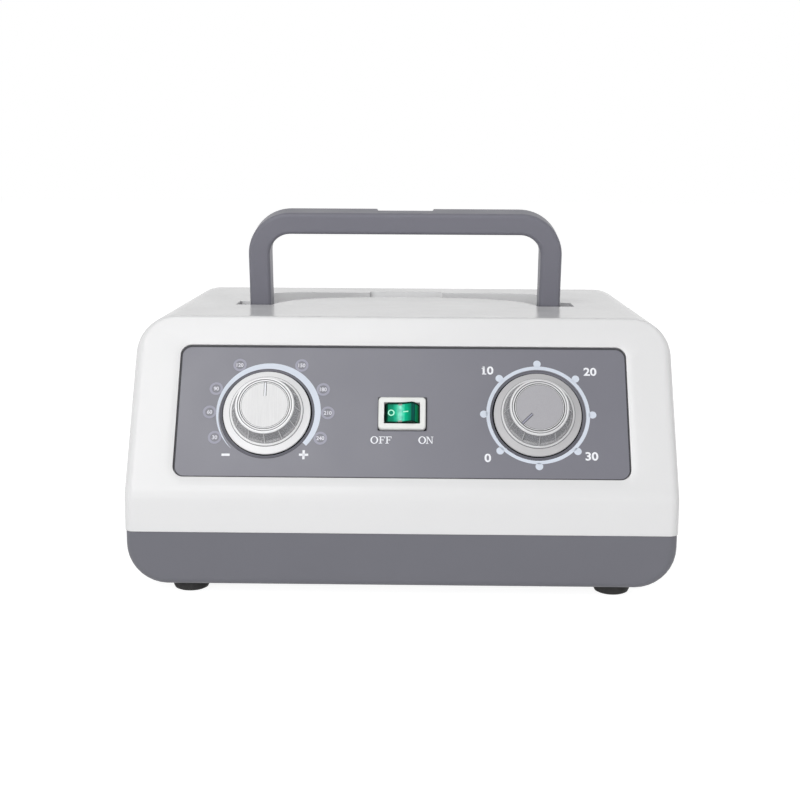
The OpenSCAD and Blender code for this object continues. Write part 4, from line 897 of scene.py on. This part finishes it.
def mark_rocker(shape, name, side, lift, ink):
    """Lays a shape on one of the rocker's facets."""
    shape.lay(name, on_rocker(side, lift), ink, "switch_rocker", "rocker_green")


mark_rocker(Flat().ring(-4.0, -0.1, 0.95, 1.5, 40), "rocker_off_mark", -1, 0.04, INK_MARK)
mark_rocker(Flat().bar(2.65, 0.18, 2.4, 0.5, bulge=0.09), "rocker_on_mark", 1, 0.1, INK_MARK)
CLIP_TONE = print_ink("clip_tone", (0.30, 0.27, 0.25), 0.5)
CLIP_X, CLIP_W, CLIP_H = 0.45, 0.85, 0.7
for side, name in ((-1, "rocker_clips_left"), (1, "rocker_clips_right")):
    clips = Flat()
    for y in (3.7, -4.1):
        clips.bar(side * CLIP_X, y, CLIP_W, CLIP_H)
    mark_rocker(clips, name, side, LINE_LIFT, CLIP_TONE)

# ---------------------------------------------------------------- light and floor


def area_light(name, place, aim, size, watts, mirrored=True):
    """Soft lamp; mirrored=False keeps its square out of the glossy top in the low side views."""
    data = bpy.data.lights.new(name, "AREA")
    data.shape = "RECTANGLE"
    data.size, data.size_y = size
    data.energy = watts
    o = bpy.data.objects.new(name, data)
    scene.collection.objects.link(o)
    o.location = place
    o.rotation_mode = "QUATERNION"
    o.rotation_quaternion = (Vector(aim) - Vector(place)).to_track_quat("-Z", "Y")
    o.visible_glossy = mirrored


area_light("key_left", (-0.47, -1.10, 1.18), (-0.02, -0.03, 0.06), (0.9, 0.9), 6.45)
area_light("fill_front", (-0.60, -1.35, 0.40), (0, -0.05, 0.06), (0.8, 0.6), 7.95, False)
area_light("fill_right", (1.1, -1.0, 0.55), (0.02, -0.03, 0.06), (0.9, 0.9), 3.95, False)
area_light("rear_right", (1.0, 1.25, 0.32), (0, 0.05, 0.06), (0.9, 0.5), 7.0, False)
area_light("rear_left", (-1.0, 1.25, 0.32), (0, 0.05, 0.06), (0.9, 0.5), 1.9, False)


def background_rays(t):
    """1 for the rays that see the background: straight, mirrored or through glass."""
    rays = t.nodes.new("ShaderNodeLightPath")
    value = rays.outputs["Is Camera Ray"]
    for name in ("Is Glossy Ray", "Is Transmission Ray"):
        either = t.nodes.new("ShaderNodeMath")
        either.operation = "MAXIMUM"
        t.links.new(value, either.inputs[0])
        t.links.new(rays.outputs[name], either.inputs[1])
        value = either.outputs[0]
    return value


# The floor lights the object as FLOOR_GREY and the sky lights it with SKY_LIGHT. Background rays
# see the floor as FLOOR_FAINT plus FLOOR_GLOW and the sky as SKY_SEEN.
FLOOR_GREY, FLOOR_FAINT, FLOOR_GLOW = 0.86, 0.34, 0.905
SKY_LIGHT, SKY_SEEN = 0.30, 1.0
# Half the floor's side, in metres
FLOOR_HALF = 6


def floor_material():
    """Pale floor that the camera sees as white, with the object's shadow on it."""
    mat = bpy.data.materials.new("floor_pale")
    mat.use_nodes = True
    t = mat.node_tree
    t.nodes.clear()
    out = t.nodes.new("ShaderNodeOutputMaterial")
    lit = t.nodes.new("ShaderNodeBsdfDiffuse")
    lit.inputs["Color"].default_value = (FLOOR_GREY, FLOOR_GREY, FLOOR_GREY, 1)
    faint = t.nodes.new("ShaderNodeBsdfDiffuse")
    faint.inputs["Color"].default_value = (FLOOR_FAINT, FLOOR_FAINT, FLOOR_FAINT, 1)
    glow = t.nodes.new("ShaderNodeEmission")
    glow.inputs["Strength"].default_value = FLOOR_GLOW
    seen = t.nodes.new("ShaderNodeAddShader")
    pick = t.nodes.new("ShaderNodeMixShader")
    t.links.new(faint.outputs[0], seen.inputs[0])
    t.links.new(glow.outputs[0], seen.inputs[1])
    t.links.new(background_rays(t), pick.inputs[0])
    t.links.new(lit.outputs[0], pick.inputs[1])
    t.links.new(seen.outputs[0], pick.inputs[2])
    t.links.new(pick.outputs[0], out.inputs["Surface"])
    return mat


def sky(t, strength):
    """White background of the given strength."""
    node = t.nodes.new("ShaderNodeBackground")
    node.inputs["Color"].default_value = (1, 1, 1, 1)
    node.inputs["Strength"].default_value = strength
    return node.outputs[0]


world = bpy.data.worlds.new("studio")
scene.world = world
world.use_nodes = True
tree = world.node_tree
tree.nodes.clear()
light, seen = sky(tree, SKY_LIGHT), sky(tree, SKY_SEEN)
mix = tree.nodes.new("ShaderNodeMixShader")
w_out = tree.nodes.new("ShaderNodeOutputWorld")
tree.links.new(background_rays(tree), mix.inputs[0])
tree.links.new(light, mix.inputs[1])
tree.links.new(seen, mix.inputs[2])
tree.links.new(mix.outputs[0], w_out.inputs["Surface"])

bm = bmesh.new()
bmesh.ops.create_grid(bm, x_segments=1, y_segments=1, size=FLOOR_HALF)
floor_mesh = bpy.data.meshes.new("floor")
bm.to_mesh(floor_mesh)
bm.free()
floor_mesh.materials.append(floor_material())
floor = bpy.data.objects.new("floor", floor_mesh)
scene.collection.objects.link(floor)

# --------------------------------------------------------------------- the camera

# Fitted to the photograph; PITCH is how far the camera looks down
CAMERA_AT = Vector((8.4, -666.3, 187.8)) * MM
PITCH, YAW, ROLL = math.radians(9.94), math.radians(-0.91), math.radians(0.29)
LENS, SENSOR, NEAREST, FARTHEST = 60.75, 36, 0.02, 30
ahead = Vector((math.sin(YAW) * math.cos(PITCH), math.cos(YAW) * math.cos(PITCH), -math.sin(PITCH)))
level = ahead.cross(Vector((0, 0, 1))).normalized()
above = level.cross(ahead)
right = level * math.cos(ROLL) + above * math.sin(ROLL)
top = above * math.cos(ROLL) - level * math.sin(ROLL)
data = bpy.data.cameras.new("camera")
data.lens = LENS
data.sensor_width = SENSOR
data.clip_start, data.clip_end = NEAREST, FARTHEST
camera = bpy.data.objects.new("camera", data)
scene.collection.objects.link(camera)
turned = Matrix((right, top, -ahead)).transposed().to_4x4()
camera.matrix_world = Matrix.Translation(CAMERA_AT) @ turned
scene.camera = camera

scene.view_settings.view_transform = "Standard"
